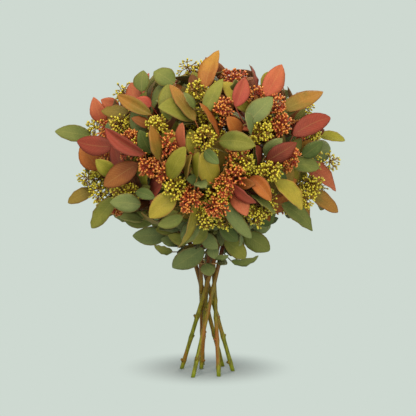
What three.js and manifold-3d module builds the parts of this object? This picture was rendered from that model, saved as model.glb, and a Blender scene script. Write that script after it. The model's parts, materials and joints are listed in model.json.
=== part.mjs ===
// A hand-tied bunch of dried seeded eucalyptus that stands on its splayed, level-cut stems.
// Seven leafy stems cross in a spiral at the waist, are held by a cord, and open into a broad head.
// Each stem is one fused solid of bark, twigs, leaves and bud clusters, as it grew.
// Millimetres, +Z up, the front faces -Y and the finished bunch stands on z = 0.
import * as THREE from "three";
import { mergeVertices } from "three/addons/utils/BufferGeometryUtils.js";
import Module from "manifold-3d";

const wasm = await Module();
wasm.setup();

const DEGREE = Math.PI / 180;
const GOLDEN_TURN = 137.508 * DEGREE;

// ---- Stems and cord ----
const STEM_RADIUS = 3.2;
const STEM_TIP_RADIUS = 1.5;
const STEM_SIDES = 8;
const TIE_HEIGHT = 165;
const TIE_CIRCLE = 19; // the outer stems' axes stand on this circle at the cord
const TIE_START = 120; // degrees round to the first of them
const STEM_GAP = 0.45; // between the cord and the bark
const CORD_RADIUS = 1.4;
const STEM_STEPS = 7; // straight lengths between the cord and the tip
const STEM_STRAIGHT = 12; // length above the cord before a stem starts to curve
const STEM_PULLS = [70, 50]; // how far its first and last directions hold
const FOOT_HEIGHT = -8; // all heights are from a level just over the floor
const FEET = [
  // degrees round and distance out of each outer cut end
  [0, 40],
  [50, 38],
  [100, 40],
  [160, 42],
  [240, 43],
  [300, 36],
];
const CROWN_TURN = 38; // degrees that a stem turns on from the cord to its tip
const CROWNS = [
  // distance out and height of the stem tips, in turn
  [118, 292],
  [88, 372],
];
const INNER_FOOT = [-9, 13];
const INNER_TIE = [2, -4.4, TIE_HEIGHT]; // leans on its neighbour at the waist
const INNER_CROWN = [0, 0, 425];

// ---- Head ----
const HEAD = [
  // height and radius of the leaf surface
  [150, 26],
  [222, 92],
  [236, 150],
  [262, 180],
  [310, 188],
  [360, 184],
  [408, 160],
  [430, 132],
  [455, 90],
  [470, 0],
];
const HEART = new THREE.Vector3(0, 0, 240); // the head grows outward from here
const BUNCH_X = 10.5; // the stems' axis from the middle of the bunch's width
const BUNCH_Y = 5.2; // and of its depth

// ---- Sprays placed by rule ----
const SPRAYS = 85;
const SPRAY_SEEDS = 100; // one seed for the spray and one for each of its leaves
const LEAVES_PER_SPRAY = 6;
const SPRAY_DEPTH = 30; // twig tips below the leaf surface
const LEAF_PITCH = 14; // between leaves along a twig
const FIRST_LEAF = [0.8, 0.4]; // pitches from the twig's tip to its first leaf, and on a low twig
const PLACE_PITCH = 8; // between the places where a stalk may start
const SHORTEST_STALK = 9;
const TWIG_STEP = 26; // length of the straight lengths that a twig is made of
const STALK_STEP = 30;
const LEAF_TRIES = 16;
const TWIG_RADIUS = 1.5;
const TWIG_ROOT_RADIUS = 1.35;
const STALK_RADIUS = 0.9;
const LEAF_LENGTH = [48, 68];
const LEAF_WIDTH_SHARE = [0.5, 0.64];
const LEAF_LIFT = [0.15, 0.75]; // how steeply leaves stand away from the surface
const LEAF_OFFSET = [10, 18]; // from the twig's axis to the leaf's base
const LEAF_RISE = 8;
const LEAF_OVERHANG = 16; // how far out of the leaf surface a tip may stand
const LOW_LEAF_LENGTH = [32, 50]; // the small leaves under the head
const LOW_HEIGHT = 244;
const BLADE_THICKNESS = 1.5; // at the midrib
const BLADE_STATIONS = [0, 0.3, 0.66, 1];
const CLUSTER_REACH = 22; // from the hub to the bud tips
const FRONT_CLEARING = 7; // from a hub to the blades placed by hand
const CLUSTER_CLEARING = 15; // and by rule
const FRONT_SPACING = 22; // least distance between hubs placed by hand
const CLUSTER_SPACING = 36; // and by rule
const HUB_RADIUS = 1.3;
const BUD_RADIUS = 2.1;
const BLADE_CLEARING = [1.3, -0.5, -2.6]; // guard sheets over, in and under a blade
const ROD_CLEARING = 0.6;
const NO_CLUSTER = 1000; // a spacing that leaves the lowest twigs without buds
const FINEST = 0.05; // ridges lower than this are smoothed away where solids join

// ---- Leaves and clusters of the front, as seen from the eye ----
const EYE = new THREE.Vector3(0, -1980, 522);
const SIGHT = { from: 220, to: 15, step: 2 }; // how a line of sight is followed toward the axis
const FRONT_DEPTHS = [22, 15, 29, 9, 36, 3]; // leaf bases under the surface, in the order tried
const CLUSTER_DEPTH = 18;
const FRONT_RISE = 28; // a leaf's tip is this much nearer the surface than its base
const STEEPEST = 0.45; // and at most this share of its length nearer the eye, or farther
const EDGE_ON = { seen: 18, width: 26, roll: 1.05 }; // a leaf seen narrower is turned edge-on
const FRONT_SEEDS = { clusters: 8000, leaves: 9000 };
const FRONT_LEAVES = [
  // base and tip, each as the place across and the height where its line of sight crosses
  // the upright plane through the axis, then the width
  [-3, 429, 17, 487, 32],
  [-175, 356, -230, 364, 30],
  [-155, 376, -171, 416, 26],
  [-119, 392, -160, 395, 24],
  [-84, 389, -133, 420, 30],
  [-98, 424, -94, 457, 26],
  [-49, 436, -79, 455, 30],
  [-56, 381, -59, 435, 26],
  [-18, 380, -56, 435, 22],
  [-142, 341, -192, 353, 30],
  [-94, 329, -154, 369, 38],
  [-162, 306, -190, 346, 34],
  [-140, 299, -169, 321, 26],
  [-105, 315, -157, 281, 32],
  [-172, 275, -212, 255, 24],
  [-139, 262, -172, 224, 30],
  [-101, 252, -148, 256, 28],
  [-47, 269, -88, 232, 34],
  [-98, 229, -133, 232, 14],
  [-61, 207, -114, 204, 32],
  [-21, 252, -44, 195, 14],
  [-12, 221, -37, 202, 26],
  [-6, 185, -53, 155, 36],
  [-53, 179, -81, 189, 22],
  [72, 424, 62, 466, 16],
  [43, 401, 56, 446, 28],
  [88, 418, 110, 466, 32],
  [-2, 392, 24, 444, 24],
  [62, 376, 99, 416, 34],
  [114, 396, 171, 426, 30],
  [130, 358, 181, 389, 30],
  [169, 358, 209, 350, 22],
  [145, 326, 175, 349, 24],
  [91, 319, 136, 347, 26],
  [18, 349, 73, 343, 30],
  [50, 356, 30, 386, 26],
  [18, 358, -11, 407, 16],
  [66, 295, 98, 258, 28],
  [38, 282, 75, 255, 14],
  [24, 253, 66, 210, 20],
  [-8, 206, 17, 184, 24],
  [102, 289, 145, 244, 34],
  [114, 253, 155, 224, 30],
  [154, 273, 198, 244, 28],
  [56, 207, 96, 181, 32],
  [37, 165, 79, 173, 26],
  [26, 198, 59, 172, 26],
  [67, 267, 105, 238, 14],
  [-3, 161, 6, 142, 14],
];
const FRONT_CLUSTERS = [
  // place across and height
  [-76, 372],
  [-6, 356],
  [-15, 426],
  [-111, 329],
  [-90, 309],
  [-180, 293],
  [-163, 269],
  [-130, 272],
  [-50, 278],
  [-26, 258],
  [-3, 230],
  [30, 279],
  [14, 249],
  [55, 318],
  [96, 306],
  [126, 324],
  [169, 287],
  [76, 235],
  [23, 400],
  [105, 403],
  [158, 364],
  [82, 364],
  [-126, 423],
  [-29, 460],
  [-168, 370],
  [149, 403],
  [41, 444],
];

// ---- Helpers ----

// Repeatable draws between 0 and 1.
function stream(seed) {
  let state = seed >>> 0;
  return () => {
    state = (state + 0x6d2b79f5) >>> 0;
    let t = state;
    t = Math.imul(t ^ (t >>> 15), t | 1);
    t ^= t + Math.imul(t ^ (t >>> 7), t | 61);
    return ((t ^ (t >>> 14)) >>> 0) / 4294967296;
  };
}

const between = (draw, [low, high]) => low + (high - low) * draw();
const spread = (draw, reach) => reach * (2 * draw() - 1);
const polar = (degrees, radius, height) =>
  new THREE.Vector3(
    radius * Math.cos(degrees * DEGREE),
    radius * Math.sin(degrees * DEGREE),
    height,
  );
const along = (point, direction, length) => point.clone().addScaledVector(direction, length);
const toward = (from, to) => to.clone().sub(from).normalize();
const outward = (point) => toward(HEART, point);
const squareTo = (vector, axis) => along(vector, axis, -vector.dot(axis)).normalize();

function anySquareTo(axis) {
  const reference = Math.abs(axis.z) < 0.9 ? new THREE.Vector3(0, 0, 1) : new THREE.Vector3(1, 0, 0);
  return squareTo(reference, axis);
}

function headRadius(height) {
  const above = HEAD.findIndex(([z]) => z >= height);
  if (above < 0) return 0;
  const [z1, r1] = HEAD[Math.max(above, 1)];
  const [z0, r0] = HEAD[Math.max(above, 1) - 1];
  return Math.max(0, r0 + ((r1 - r0) * (height - z0)) / (z1 - z0));
}

// The point of the head's surface below which the given share of its area lies.
function surfacePoint(share, angle) {
  const areas = HEAD.slice(1).map(([z1, r1], i) => {
    const [z0, r0] = HEAD[i];
    return (r0 + r1) * Math.hypot(r1 - r0, z1 - z0);
  });
  let left = share * areas.reduce((sum, area) => sum + area, 0);
  let band = 0;
  while (left > areas[band] && band < areas.length - 1) {
    left -= areas[band];
    band += 1;
  }
  const part = left / areas[band];
  const [z0, r0] = HEAD[band];
  const [z1, r1] = HEAD[band + 1];
  return polar(angle / DEGREE, r0 + (r1 - r0) * part, z0 + (z1 - z0) * part);
}

// Where the line of sight through (across, 0, height) first comes within depth of the surface.
function sighted(across, height, depth) {
  const aim = new THREE.Vector3(across, 0, height);
  const sight = toward(EYE, aim);
  for (let near = SIGHT.from; near > SIGHT.to; near -= SIGHT.step) {
    const point = along(aim, sight, -near);
    const radius = headRadius(point.z);
    if (Math.hypot(point.x, point.y) <= radius - Math.min(depth, radius * 0.3)) return point;
  }
  return along(aim, sight, -SIGHT.to);
}

// ---- Solids ----

// A closed skin over rings of corners; a pointed one ends at its last ring's centre.
function skin(rings, sides, pointed) {
  const geometry = new THREE.CylinderGeometry(pointed ? 0 : 1, 1, 1, sides, rings.length - 1);
  const corners = geometry.attributes.position;
  const corner = new THREE.Vector3();
  for (let i = 0; i < corners.count; i++) {
    corner.fromBufferAttribute(corners, i);
    const ring = rings[Math.round((corner.y + 0.5) * (rings.length - 1))];
    const reach = Math.hypot(corner.x, corner.z);
    const x = reach > 1e-6 ? corner.x / reach : 0;
    const z = reach > 1e-6 ? corner.z / reach : 0;
    corner.copy(ring.centre).addScaledVector(ring.across, x).addScaledVector(ring.depth, z);
    corners.setXYZ(i, corner.x, corner.y, corner.z);
  }
  geometry.deleteAttribute("normal");
  geometry.deleteAttribute("uv");
  return solidOf(geometry);
}

function solidOf(geometry) {
  const merged = mergeVertices(geometry);
  return new wasm.Manifold(
    new wasm.Mesh({
      numProp: 3,
      vertProperties: merged.attributes.position.array,
      triVerts: new Uint32Array(merged.index.array),
    }),
  );
}

function meshOf(name, solid, material) {
  const made = solid.getMesh();
  const geometry = new THREE.BufferGeometry();
  geometry.setAttribute("position", new THREE.BufferAttribute(made.vertProperties, 3));
  geometry.setIndex(new THREE.BufferAttribute(made.triVerts, 1));
  const mesh = new THREE.Mesh(geometry, material);
  mesh.name = name;
  return mesh;
}

// Rings round a path of points, carried back from its end without twisting.
function tubeRings(points, radii, endAcross) {
  const last = points.length - 1;
  const rings = [];
  let across = endAcross ?? anySquareTo(toward(points[last - 1], points[last]));
  for (let i = last; i >= 0; i--) {
    const tangent = toward(points[Math.max(i - 1, 0)], points[Math.min(i + 1, last)]);
    across = squareTo(across, tangent);
    rings.unshift({
      centre: points[i],
      across: across.clone().multiplyScalar(radii[i]),
      depth: across.clone().cross(tangent).multiplyScalar(radii[i]),
      tangent,
    });
  }
  return rings;
}

// Slides a ring's corners along its stem until the ring is level.
function levelRing(ring) {
  for (const edge of [ring.across, ring.depth]) {
    edge.addScaledVector(ring.tangent, -edge.z / ring.tangent.z);
  }
}

// ---- Guards against crossing: blades as sheets, twigs as rods ----

const guardBlades = [];
const guardRods = [];
const guardHubs = [];

function pierces(p, q, [a, b, c]) {
  const run = q.clone().sub(p);
  const e1 = b.clone().sub(a);
  const e2 = c.clone().sub(a);
  const h = run.clone().cross(e2);
  const size = e1.dot(h);
  if (Math.abs(size) < 1e-9) return false;
  const s = p.clone().sub(a);
  const u = s.dot(h) / size;
  if (u < 0 || u > 1) return false;
  const k = s.cross(e1);
  const w = run.dot(k) / size;
  if (w < 0 || u + w > 1) return false;
  const t = e2.dot(k) / size;
  return t >= 0 && t <= 1;
}

// The shortest distance between two segments.
function apart(p1, q1, p2, q2) {
  const d1 = q1.clone().sub(p1);
  const d2 = q2.clone().sub(p2);
  const r = p1.clone().sub(p2);
  const a = d1.dot(d1);
  const e = d2.dot(d2);
  const b = d1.dot(d2);
  const c = d1.dot(r);
  const f = d2.dot(r);
  const clamp = (value) => Math.min(1, Math.max(0, value));
  const size = a * e - b * b;
  let s = size > 1e-9 ? clamp((b * f - c * e) / size) : 0;
  const t = clamp((b * s + f) / e);
  s = clamp((b * t - c) / a);
  return along(p1, d1, s).distanceTo(along(p2, d2, t));
}

const near = (one, other, room) =>
  one.middle.distanceTo(other.middle) < one.reach + other.reach + room;

function rodOf(owner, start, end, radius) {
  const middle = start.clone().lerp(end, 0.5);
  return { owner, start, end, radius, middle, reach: start.distanceTo(end) / 2 + radius };
}

function rodsOf(owner, points, radii) {
  return points.slice(1).map((end, i) => rodOf(owner, points[i], end, radii[i]));
}

function bladesCross(one, other) {
  if (!near(one, other, 4)) return false;
  const meets = (edges, sheets) =>
    edges.some(([p, q]) => sheets.some((sheet) => pierces(p, q, sheet)));
  return meets(one.edges, other.sheets) || meets(other.edges, one.sheets);
}

function rodCrossesBlade(rod, blade) {
  if (!near(rod, blade, 2)) return false;
  if (blade.sheets.some((sheet) => pierces(rod.start, rod.end, sheet))) return true;
  const room = rod.radius + 1;
  return blade.edges.some(([p, q]) => apart(rod.start, rod.end, p, q) < room);
}

function rodsTouch(one, other) {
  const room = one.radius + other.radius + ROD_CLEARING;
  return near(one, other, 1) && apart(one.start, one.end, other.start, other.end) < room;
}

function blocked(owner, blade, rods, clearing) {
  if (blade) {
    if (guardBlades.some((other) => bladesCross(blade, other))) return true;
    if (guardRods.some((rod) => rodCrossesBlade(rod, blade))) return true;
    const near = (hub) =>
      blade.edges.some(([p, q]) => {
        const closest = new THREE.Line3(p, q).closestPointToPoint(hub, true, new THREE.Vector3());
        return closest.distanceTo(hub) < clearing;
      });
    if (guardHubs.some(near)) return true;
  }
  return rods.some(
    (rod) =>
      guardBlades.some((other) => rodCrossesBlade(rod, other)) ||
      guardRods.some((other) => other.owner !== owner && rodsTouch(rod, other)),
  );
}

// ---- Stems ----

function curve(a, b, c, d, steps) {
  return new THREE.CubicBezierCurve3(a, b, c, d).getPoints(steps);
}

// Places along a path where twigs and stalks may leave it.
function placesOn(path) {
  return path.slice(1).flatMap((end, i) => {
    const start = path[i];
    const count = Math.ceil(start.distanceTo(end) / PLACE_PITCH);
    const tangent = toward(start, end);
    return Array.from({ length: count }, (_, n) => ({
      point: start.clone().lerp(end, (n + 0.5) / count),
      tangent,
    }));
  });
}

// The point of a path at a distance back from its end.
function pointBack(path, distance) {
  let left = distance;
  for (let i = path.length - 1; i > 0; i--) {
    const length = path[i].distanceTo(path[i - 1]);
    if (left < length) return path[i].clone().lerp(path[i - 1], left / length);
    left -= length;
  }
  return path[0].clone();
}

function makeStem(owner, foot, held, crown) {
  const rise = toward(foot, held);
  const leave = along(held, rise, STEM_STRAIGHT);
  const [low, high] = STEM_PULLS;
  const pull = along(crown, outward(crown), -high);
  const upper = curve(leave, along(leave, rise, low), pull, crown, STEM_STEPS);
  const points = [foot, ...upper];
  const radii = [STEM_RADIUS, ...taper(upper.length, STEM_RADIUS, STEM_TIP_RADIUS)];
  const rings = tubeRings(points, radii);
  levelRing(rings[0]);
  guardRods.push(...rodsOf(owner, points, radii));
  const mainPlaces = placesOn(upper);
  return { owner, solids: [skin(rings, STEM_SIDES, false)], mainPlaces, places: mainPlaces };
}

const vector = ([x, y, z]) => new THREE.Vector3(x, y, z);

const stems = FEET.map(([degrees, distance], k) => {
  const round = TIE_START + (360 / FEET.length) * k;
  const [reach, height] = CROWNS[k % CROWNS.length];
  return makeStem(
    k,
    polar(degrees, distance, FOOT_HEIGHT),
    polar(round, TIE_CIRCLE, TIE_HEIGHT),
    polar(round + CROWN_TURN, reach, height),
  );
});
const innerFoot = vector([...INNER_FOOT, FOOT_HEIGHT]);
stems.push(makeStem(FEET.length, innerFoot, vector(INNER_TIE), vector(INNER_CROWN)));

// ---- Cord ----

const cordCircle = TIE_CIRCLE + STEM_RADIUS + STEM_GAP + CORD_RADIUS;

function makeCord() {
  const ring = new THREE.TorusGeometry(cordCircle, CORD_RADIUS, 5, 24);
  ring.deleteAttribute("normal");
  ring.deleteAttribute("uv");
  ring.translate(0, 0, TIE_HEIGHT);
  const turns = 12;
  for (let i = 0; i < turns; i++) {
    const start = polar((360 / turns) * i, cordCircle, TIE_HEIGHT);
    const end = polar((360 / turns) * (i + 1), cordCircle, TIE_HEIGHT);
    guardRods.push(rodOf("tie", start, end, CORD_RADIUS));
  }
  return solidOf(ring);
}

// ---- Growth ----

// The stem that a place in the head belongs to is the one that passes nearest.
function ownerOf(point) {
  const distances = stems.map((stem) =>
    Math.min(...stem.mainPlaces.map((place) => place.point.distanceTo(point))),
  );
  return stems[distances.indexOf(Math.min(...distances))];
}

// Places on a stem or its twigs from which a new stalk could reach its end, the best first.
function rankPlaces(places, end) {
  const cost = (place) =>
    place.point.distanceTo(end) * (1.8 - place.tangent.dot(toward(place.point, end)));
  return places
    .filter((place) => place.point.distanceTo(end) > SHORTEST_STALK)
    .map((place) => ({ place, cost: cost(place) }))
    .sort((one, other) => one.cost - other.cost)
    .map(({ place }) => place);
}

// A path from a place to an end, leaving at a slant and arriving along the given direction.
function stalkPath(place, end, direction, pitch) {
  const length = place.point.distanceTo(end);
  const steps = Math.max(1, Math.min(6, Math.round(length / pitch)));
  const leave = toward(place.point, end).multiplyScalar(1.3).add(place.tangent).normalize();
  const pull = length * 0.35;
  return curve(place.point, along(place.point, leave, pull), along(end, direction, -pull), end, steps);
}

function taper(count, start, end) {
  return Array.from({ length: count }, (_, i) => start + ((end - start) * i) / Math.max(1, count - 1));
}

// ---- Leaves ----

// Width along the blade as a share of the widest, full below the middle and blunt at the tip.
const bladeShape = (s) => 2.62 * s ** 0.62 * (1 - s) ** 0.78;

function bladeOf(leaf) {
  const side = leaf.face.clone().cross(leaf.direction);
  const stations = BLADE_STATIONS.map((s) => {
    const bow = 4 * s * (1 - s) * leaf.length;
    const centre = along(leaf.base, leaf.direction, leaf.length * s)
      .addScaledVector(leaf.face, leaf.arch * bow)
      .addScaledVector(side, leaf.sickle * bow);
    const turn = leaf.twist * s;
    const across = side.clone().multiplyScalar(Math.cos(turn)).addScaledVector(leaf.face, Math.sin(turn));
    const face = leaf.face.clone().multiplyScalar(Math.cos(turn)).addScaledVector(side, -Math.sin(turn));
    const half = Math.max((leaf.width / 2) * bladeShape(s), s < 0.5 ? STALK_RADIUS : 0);
    return {
      centre,
      across,
      face,
      half,
      left: along(centre, across, -half),
      right: along(centre, across, half),
    };
  });
  const sheets = [];
  for (let i = 1; i < stations.length; i++) {
    const low = stations[i - 1];
    const high = stations[i];
    for (const lift of BLADE_CLEARING) {
      const raised = (point) => along(point, leaf.face, lift);
      sheets.push([raised(low.left), raised(low.right), raised(high.right)]);
      sheets.push([raised(low.left), raised(high.right), raised(high.left)]);
    }
  }
  const edges = [];
  for (let i = 1; i < stations.length; i++) {
    for (const part of ["left", "right", "centre"]) edges.push([stations[i - 1][part], stations[i][part]]);
    edges.push([stations[i].left, stations[i].right]);
  }
  const middle = along(leaf.base, leaf.direction, leaf.length * 0.5);
  return { leaf, stations, sheets, edges, middle, reach: leaf.length * 0.62 };
}

// The leaf's rings: its stalk, then the blade with a flat upper face and a keel under the midrib.
function leafSolid(blade, path) {
  const radii = taper(path.length, STALK_RADIUS * 0.6, STALK_RADIUS);
  const stalk = tubeRings(path, radii, blade.stations[0].across).slice(0, -1);
  const rings = blade.stations.map(({ centre, across, face, half }) => ({
    centre: along(centre, face, -BLADE_THICKNESS / 3),
    across: across.clone().multiplyScalar(half / Math.sin(120 * DEGREE)),
    depth: face.clone().multiplyScalar((-BLADE_THICKNESS * 2) / 3),
  }));
  return skin([...stalk, ...rings], 3, true);
}

// Adds a leaf on the given stalk unless something is in its way.
function growLeaf(stem, leaf, path, clearing) {
  const blade = bladeOf(leaf);
  const rods = rodsOf(stem.owner, path, path.map(() => STALK_RADIUS * 1.2));
  if (blocked(stem.owner, blade, rods, clearing)) return false;
  stem.solids.push(leafSolid(blade, path));
  guardBlades.push(blade);
  guardRods.push(...rods);
  return true;
}

function leafFor(draw, base, direction, facing, length, width, roll) {
  const square = squareTo(facing, direction);
  const face = square.clone().applyAxisAngle(direction, roll);
  return {
    base,
    direction,
    face,
    length,
    width,
    arch: 0.02 + 0.07 * draw(),
    sickle: spread(draw, 0.05),
    twist: spread(draw, 0.3),
  };
}

// ---- Twigs and bud clusters ----

// The eight faces of a hub: the first looks back along the twig, each of the rest bears a bud.
function hubFaces(hub, outwards, turn) {
  const solid = new THREE.OctahedronGeometry(HUB_RADIUS);
  const corners = solid.attributes.position;
  const corner = new THREE.Vector3(1, 1, 1).normalize();
  const aim = new THREE.Quaternion().setFromUnitVectors(corner, outwards);
  const spin = new THREE.Quaternion().setFromAxisAngle(outwards, turn);
  const faces = [];
  for (let i = 0; i < corners.count; i += 3) {
    const offsets = [0, 1, 2].map((k) =>
      new THREE.Vector3().fromBufferAttribute(corners, i + k).applyQuaternion(aim).applyQuaternion(spin),
    );
    const middle = offsets[0].clone().add(offsets[1]).add(offsets[2]).divideScalar(3);
    const direction = middle.normalize();
    faces.push({ direction, corners: offsets.map((offset) => offset.add(hub)) });
  }
  // A face looks straight back, three look partly back, three partly out and one straight out.
  const rank = (face) => Math.round(3 * face.direction.dot(outwards));
  return faces.sort((one, other) => rank(one) - rank(other));
}

// The triangles of a three-sided limb that grows from a face through rings to a point or a flat end.
function limbTriangles(face, centres, radii, pointed) {
  const triangles = [];
  const middle = face[0].clone().add(face[1]).add(face[2]).divideScalar(3);
  let offsets = face.map((corner) => toward(middle, corner));
  let ring = face;
  centres.forEach((centre, i) => {
    const before = i ? centres[i - 1] : middle;
    const tangent = toward(before, centres[i + 1] ?? centre);
    if (pointed && i === centres.length - 1) {
      for (let k = 0; k < 3; k++) triangles.push(ring[k], ring[(k + 1) % 3], centre);
      return;
    }
    offsets = offsets.map((offset) => squareTo(offset, tangent));
    const next = offsets.map((offset) => along(centre, offset, radii[i]));
    for (let k = 0; k < 3; k++) {
      const m = (k + 1) % 3;
      triangles.push(ring[k], ring[m], next[m], ring[k], next[m], next[k]);
    }
    ring = next;
  });
  if (!pointed) triangles.push(...ring);
  return triangles;
}

// A twig with the cluster of buds at its end, in one skin.
function clusterSolid(path, faces, rays) {
  const back = [...path].reverse().slice(1);
  const radii = taper(back.length, HUB_RADIUS, TWIG_ROOT_RADIUS);
  const triangles = limbTriangles(faces[0].corners, back, radii, false);
  faces.slice(1).forEach(({ corners }, i) => {
    const ray = rays[i];
    const bud = ray ? limbTriangles(corners, [ray.widest, ray.tip], [BUD_RADIUS], true) : corners;
    triangles.push(...bud);
  });
  return solidOf(new THREE.BufferGeometry().setFromPoints(triangles));
}

// Grows a twig from the best free place on the stem. With room round its end, it claims that
// for a cluster.
function growTwig(stem, end, draw, spacing) {
  const outwards = outward(end);
  for (const place of rankPlaces(stem.mainPlaces, end).filter((_, i) => i % 2 === 0)) {
    const path = stalkPath(place, end, outwards, TWIG_STEP);
    const rods = rodsOf(stem.owner, path, path.map(() => TWIG_RADIUS));
    if (blocked(stem.owner, null, rods)) continue;
    stem.places = [...stem.places, ...placesOn(path)];
    guardRods.push(...rods);
    const flowers = !guardHubs.some((other) => other.distanceTo(end) < spacing);
    if (flowers) guardHubs.push(end);
    return { stem, path, end, outwards, flowers, draw };
  }
  return null;
}

// Gives a twig its solid; a cluster loses the buds that have no room.
function finishTwig({ stem, path, end, outwards, flowers, draw }) {
  if (!flowers) {
    stem.solids.push(skin(tubeRings(path, taper(path.length, TWIG_ROOT_RADIUS, STALK_RADIUS)), 3, true));
    return;
  }
  const faces = hubFaces(end, outwards, 6 * draw());
  const rays = faces.slice(1).map(({ direction }) => {
    const reach = CLUSTER_REACH * between(draw, [0.8, 1.05]);
    const tip = along(end, direction, reach);
    const rod = rodOf(stem.owner, end, tip, BUD_RADIUS);
    if (blocked(stem.owner, null, [rod])) return null;
    return { widest: along(end, direction, reach * 0.82), tip, rod };
  });
  stem.solids.push(clusterSolid(path, faces, rays));
  guardRods.push(...rays.filter(Boolean).map(({ rod }) => rod));
}

// ---- The whole bunch ----

const cord = makeCord();

const frontTwigs = FRONT_CLUSTERS.map(([x, h], i) => {
  const end = sighted(x, h, CLUSTER_DEPTH);
  return growTwig(ownerOf(end), end, stream(FRONT_SEEDS.clusters + i), FRONT_SPACING);
}).filter(Boolean);

// A front leaf goes at the first depth and on the first stalk that leave it room.
FRONT_LEAVES.forEach(([x0, h0, x1, h1, seen], i) => {
  const draw = stream(FRONT_SEEDS.leaves + i);
  const edgeOn = seen < EDGE_ON.seen;
  const width = edgeOn ? EDGE_ON.width : seen;
  const roll = edgeOn ? (draw() < 0.5 ? -EDGE_ON.roll : EDGE_ON.roll) : spread(draw, 0.3);
  FRONT_DEPTHS.some((depth) => {
    const base = sighted(x0, h0, depth);
    const tip = sighted(x1, h1, depth - FRONT_RISE);
    const limit = STEEPEST * Math.hypot(x1 - x0, h1 - h0);
    tip.y = Math.min(Math.max(tip.y, base.y - limit), base.y + limit);
    const direction = toward(base, tip);
    const facing = outward(base).add(toward(base, EYE));
    const leaf = leafFor(draw, base, direction, facing, base.distanceTo(tip), width, roll);
    const stem = ownerOf(base);
    return rankPlaces(stem.places, base)
      .filter((_, n) => n % 4 === 0 && n < 40)
      .map((place) => stalkPath(place, base, direction, STALK_STEP))
      .some((path) => growLeaf(stem, leaf, path, FRONT_CLEARING));
  });
});

frontTwigs.forEach(finishTwig);

// Tries to grow one leaf from a twig near its tip, turned some way round the line outwards.
function growSprayLeaf(twig, surface, distance, low, draw) {
  const out = outward(surface);
  const node = pointBack(twig.path, distance + spread(draw, 5));
  const up = squareTo(new THREE.Vector3(0, 0, 1), out);
  const sideways = up.clone().cross(out);
  const round = 6.283 * draw();
  // Above the widest height leaves turn up more often, below it down.
  const bias = Math.min(1, Math.max(-1, (surface.z - 262) / 90));
  const tangent = up
    .multiplyScalar(Math.sin(round) + 0.8 * bias)
    .addScaledVector(sideways, Math.cos(round))
    .normalize();
  const direction = along(tangent, out, between(draw, LEAF_LIFT)).normalize();
  const length = between(draw, low ? LOW_LEAF_LENGTH : LEAF_LENGTH);
  const width = length * between(draw, LEAF_WIDTH_SHARE);
  const base = along(node, tangent, between(draw, LEAF_OFFSET)).addScaledVector(out, LEAF_RISE);
  const tip = along(base, direction, length);
  if (Math.hypot(tip.x, tip.y) > headRadius(tip.z) + LEAF_OVERHANG) return false;
  const leaf = leafFor(draw, base, direction, out, length, width, spread(draw, 0.6));
  return growLeaf(twig.stem, leaf, [node, base], CLUSTER_CLEARING);
}

for (let j = 0; j < SPRAYS; j++) {
  const draw = stream(SPRAY_SEEDS * j);
  const surface = surfacePoint((j + 0.5) / SPRAYS, GOLDEN_TURN * j + spread(draw, 0.12));
  const depth = Math.min(SPRAY_DEPTH, Math.hypot(surface.x, surface.y) * 0.4 + 4);
  const end = along(surface, outward(surface), -depth);
  const low = surface.z < LOW_HEIGHT;
  const twig = growTwig(ownerOf(end), end, draw, low ? NO_CLUSTER : CLUSTER_SPACING);
  if (!twig) continue;
  for (let k = 0; k < LEAVES_PER_SPRAY; k++) {
    const leafDraw = stream(SPRAY_SEEDS * j + 11 + k);
    const distance = LEAF_PITCH * (k + FIRST_LEAF[low ? 1 : 0]);
    for (let tries = LEAF_TRIES; tries > 0; tries--) {
      if (growSprayLeaf(twig, surface, distance, low, leafDraw)) break;
    }
  }
  finishTwig(twig);
}

const bunch = new THREE.Group();
bunch.name = "eucalyptus_bunch";
bunch.position.set(BUNCH_X, BUNCH_Y, -FOOT_HEIGHT);
const foliage = new THREE.MeshStandardMaterial({ color: 0x7d7a35, roughness: 0.62, metalness: 0 });
const twine = new THREE.MeshStandardMaterial({ color: 0x8a6a3c, roughness: 0.85, metalness: 0 });
stems.forEach((stem, k) => {
  const solid = wasm.Manifold.union(stem.solids).asOriginal().simplify(FINEST);
  bunch.add(meshOf(`leafy_stem_${k + 1}`, solid, foliage));
});
bunch.add(meshOf("tie", cord, twine));

export default bunch;
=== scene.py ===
"""A hand-tied bunch of dried seeded eucalyptus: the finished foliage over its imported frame.

The leaves, twigs and buds stand where the frame's solids stand, because both follow one growth
rule. The rule works in millimetres round the stems' own axis; the meshes are in metres.
"""

import functools
import json
import math

import bmesh
import bpy
import numpy as np
from mathutils import Matrix, Vector

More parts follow.
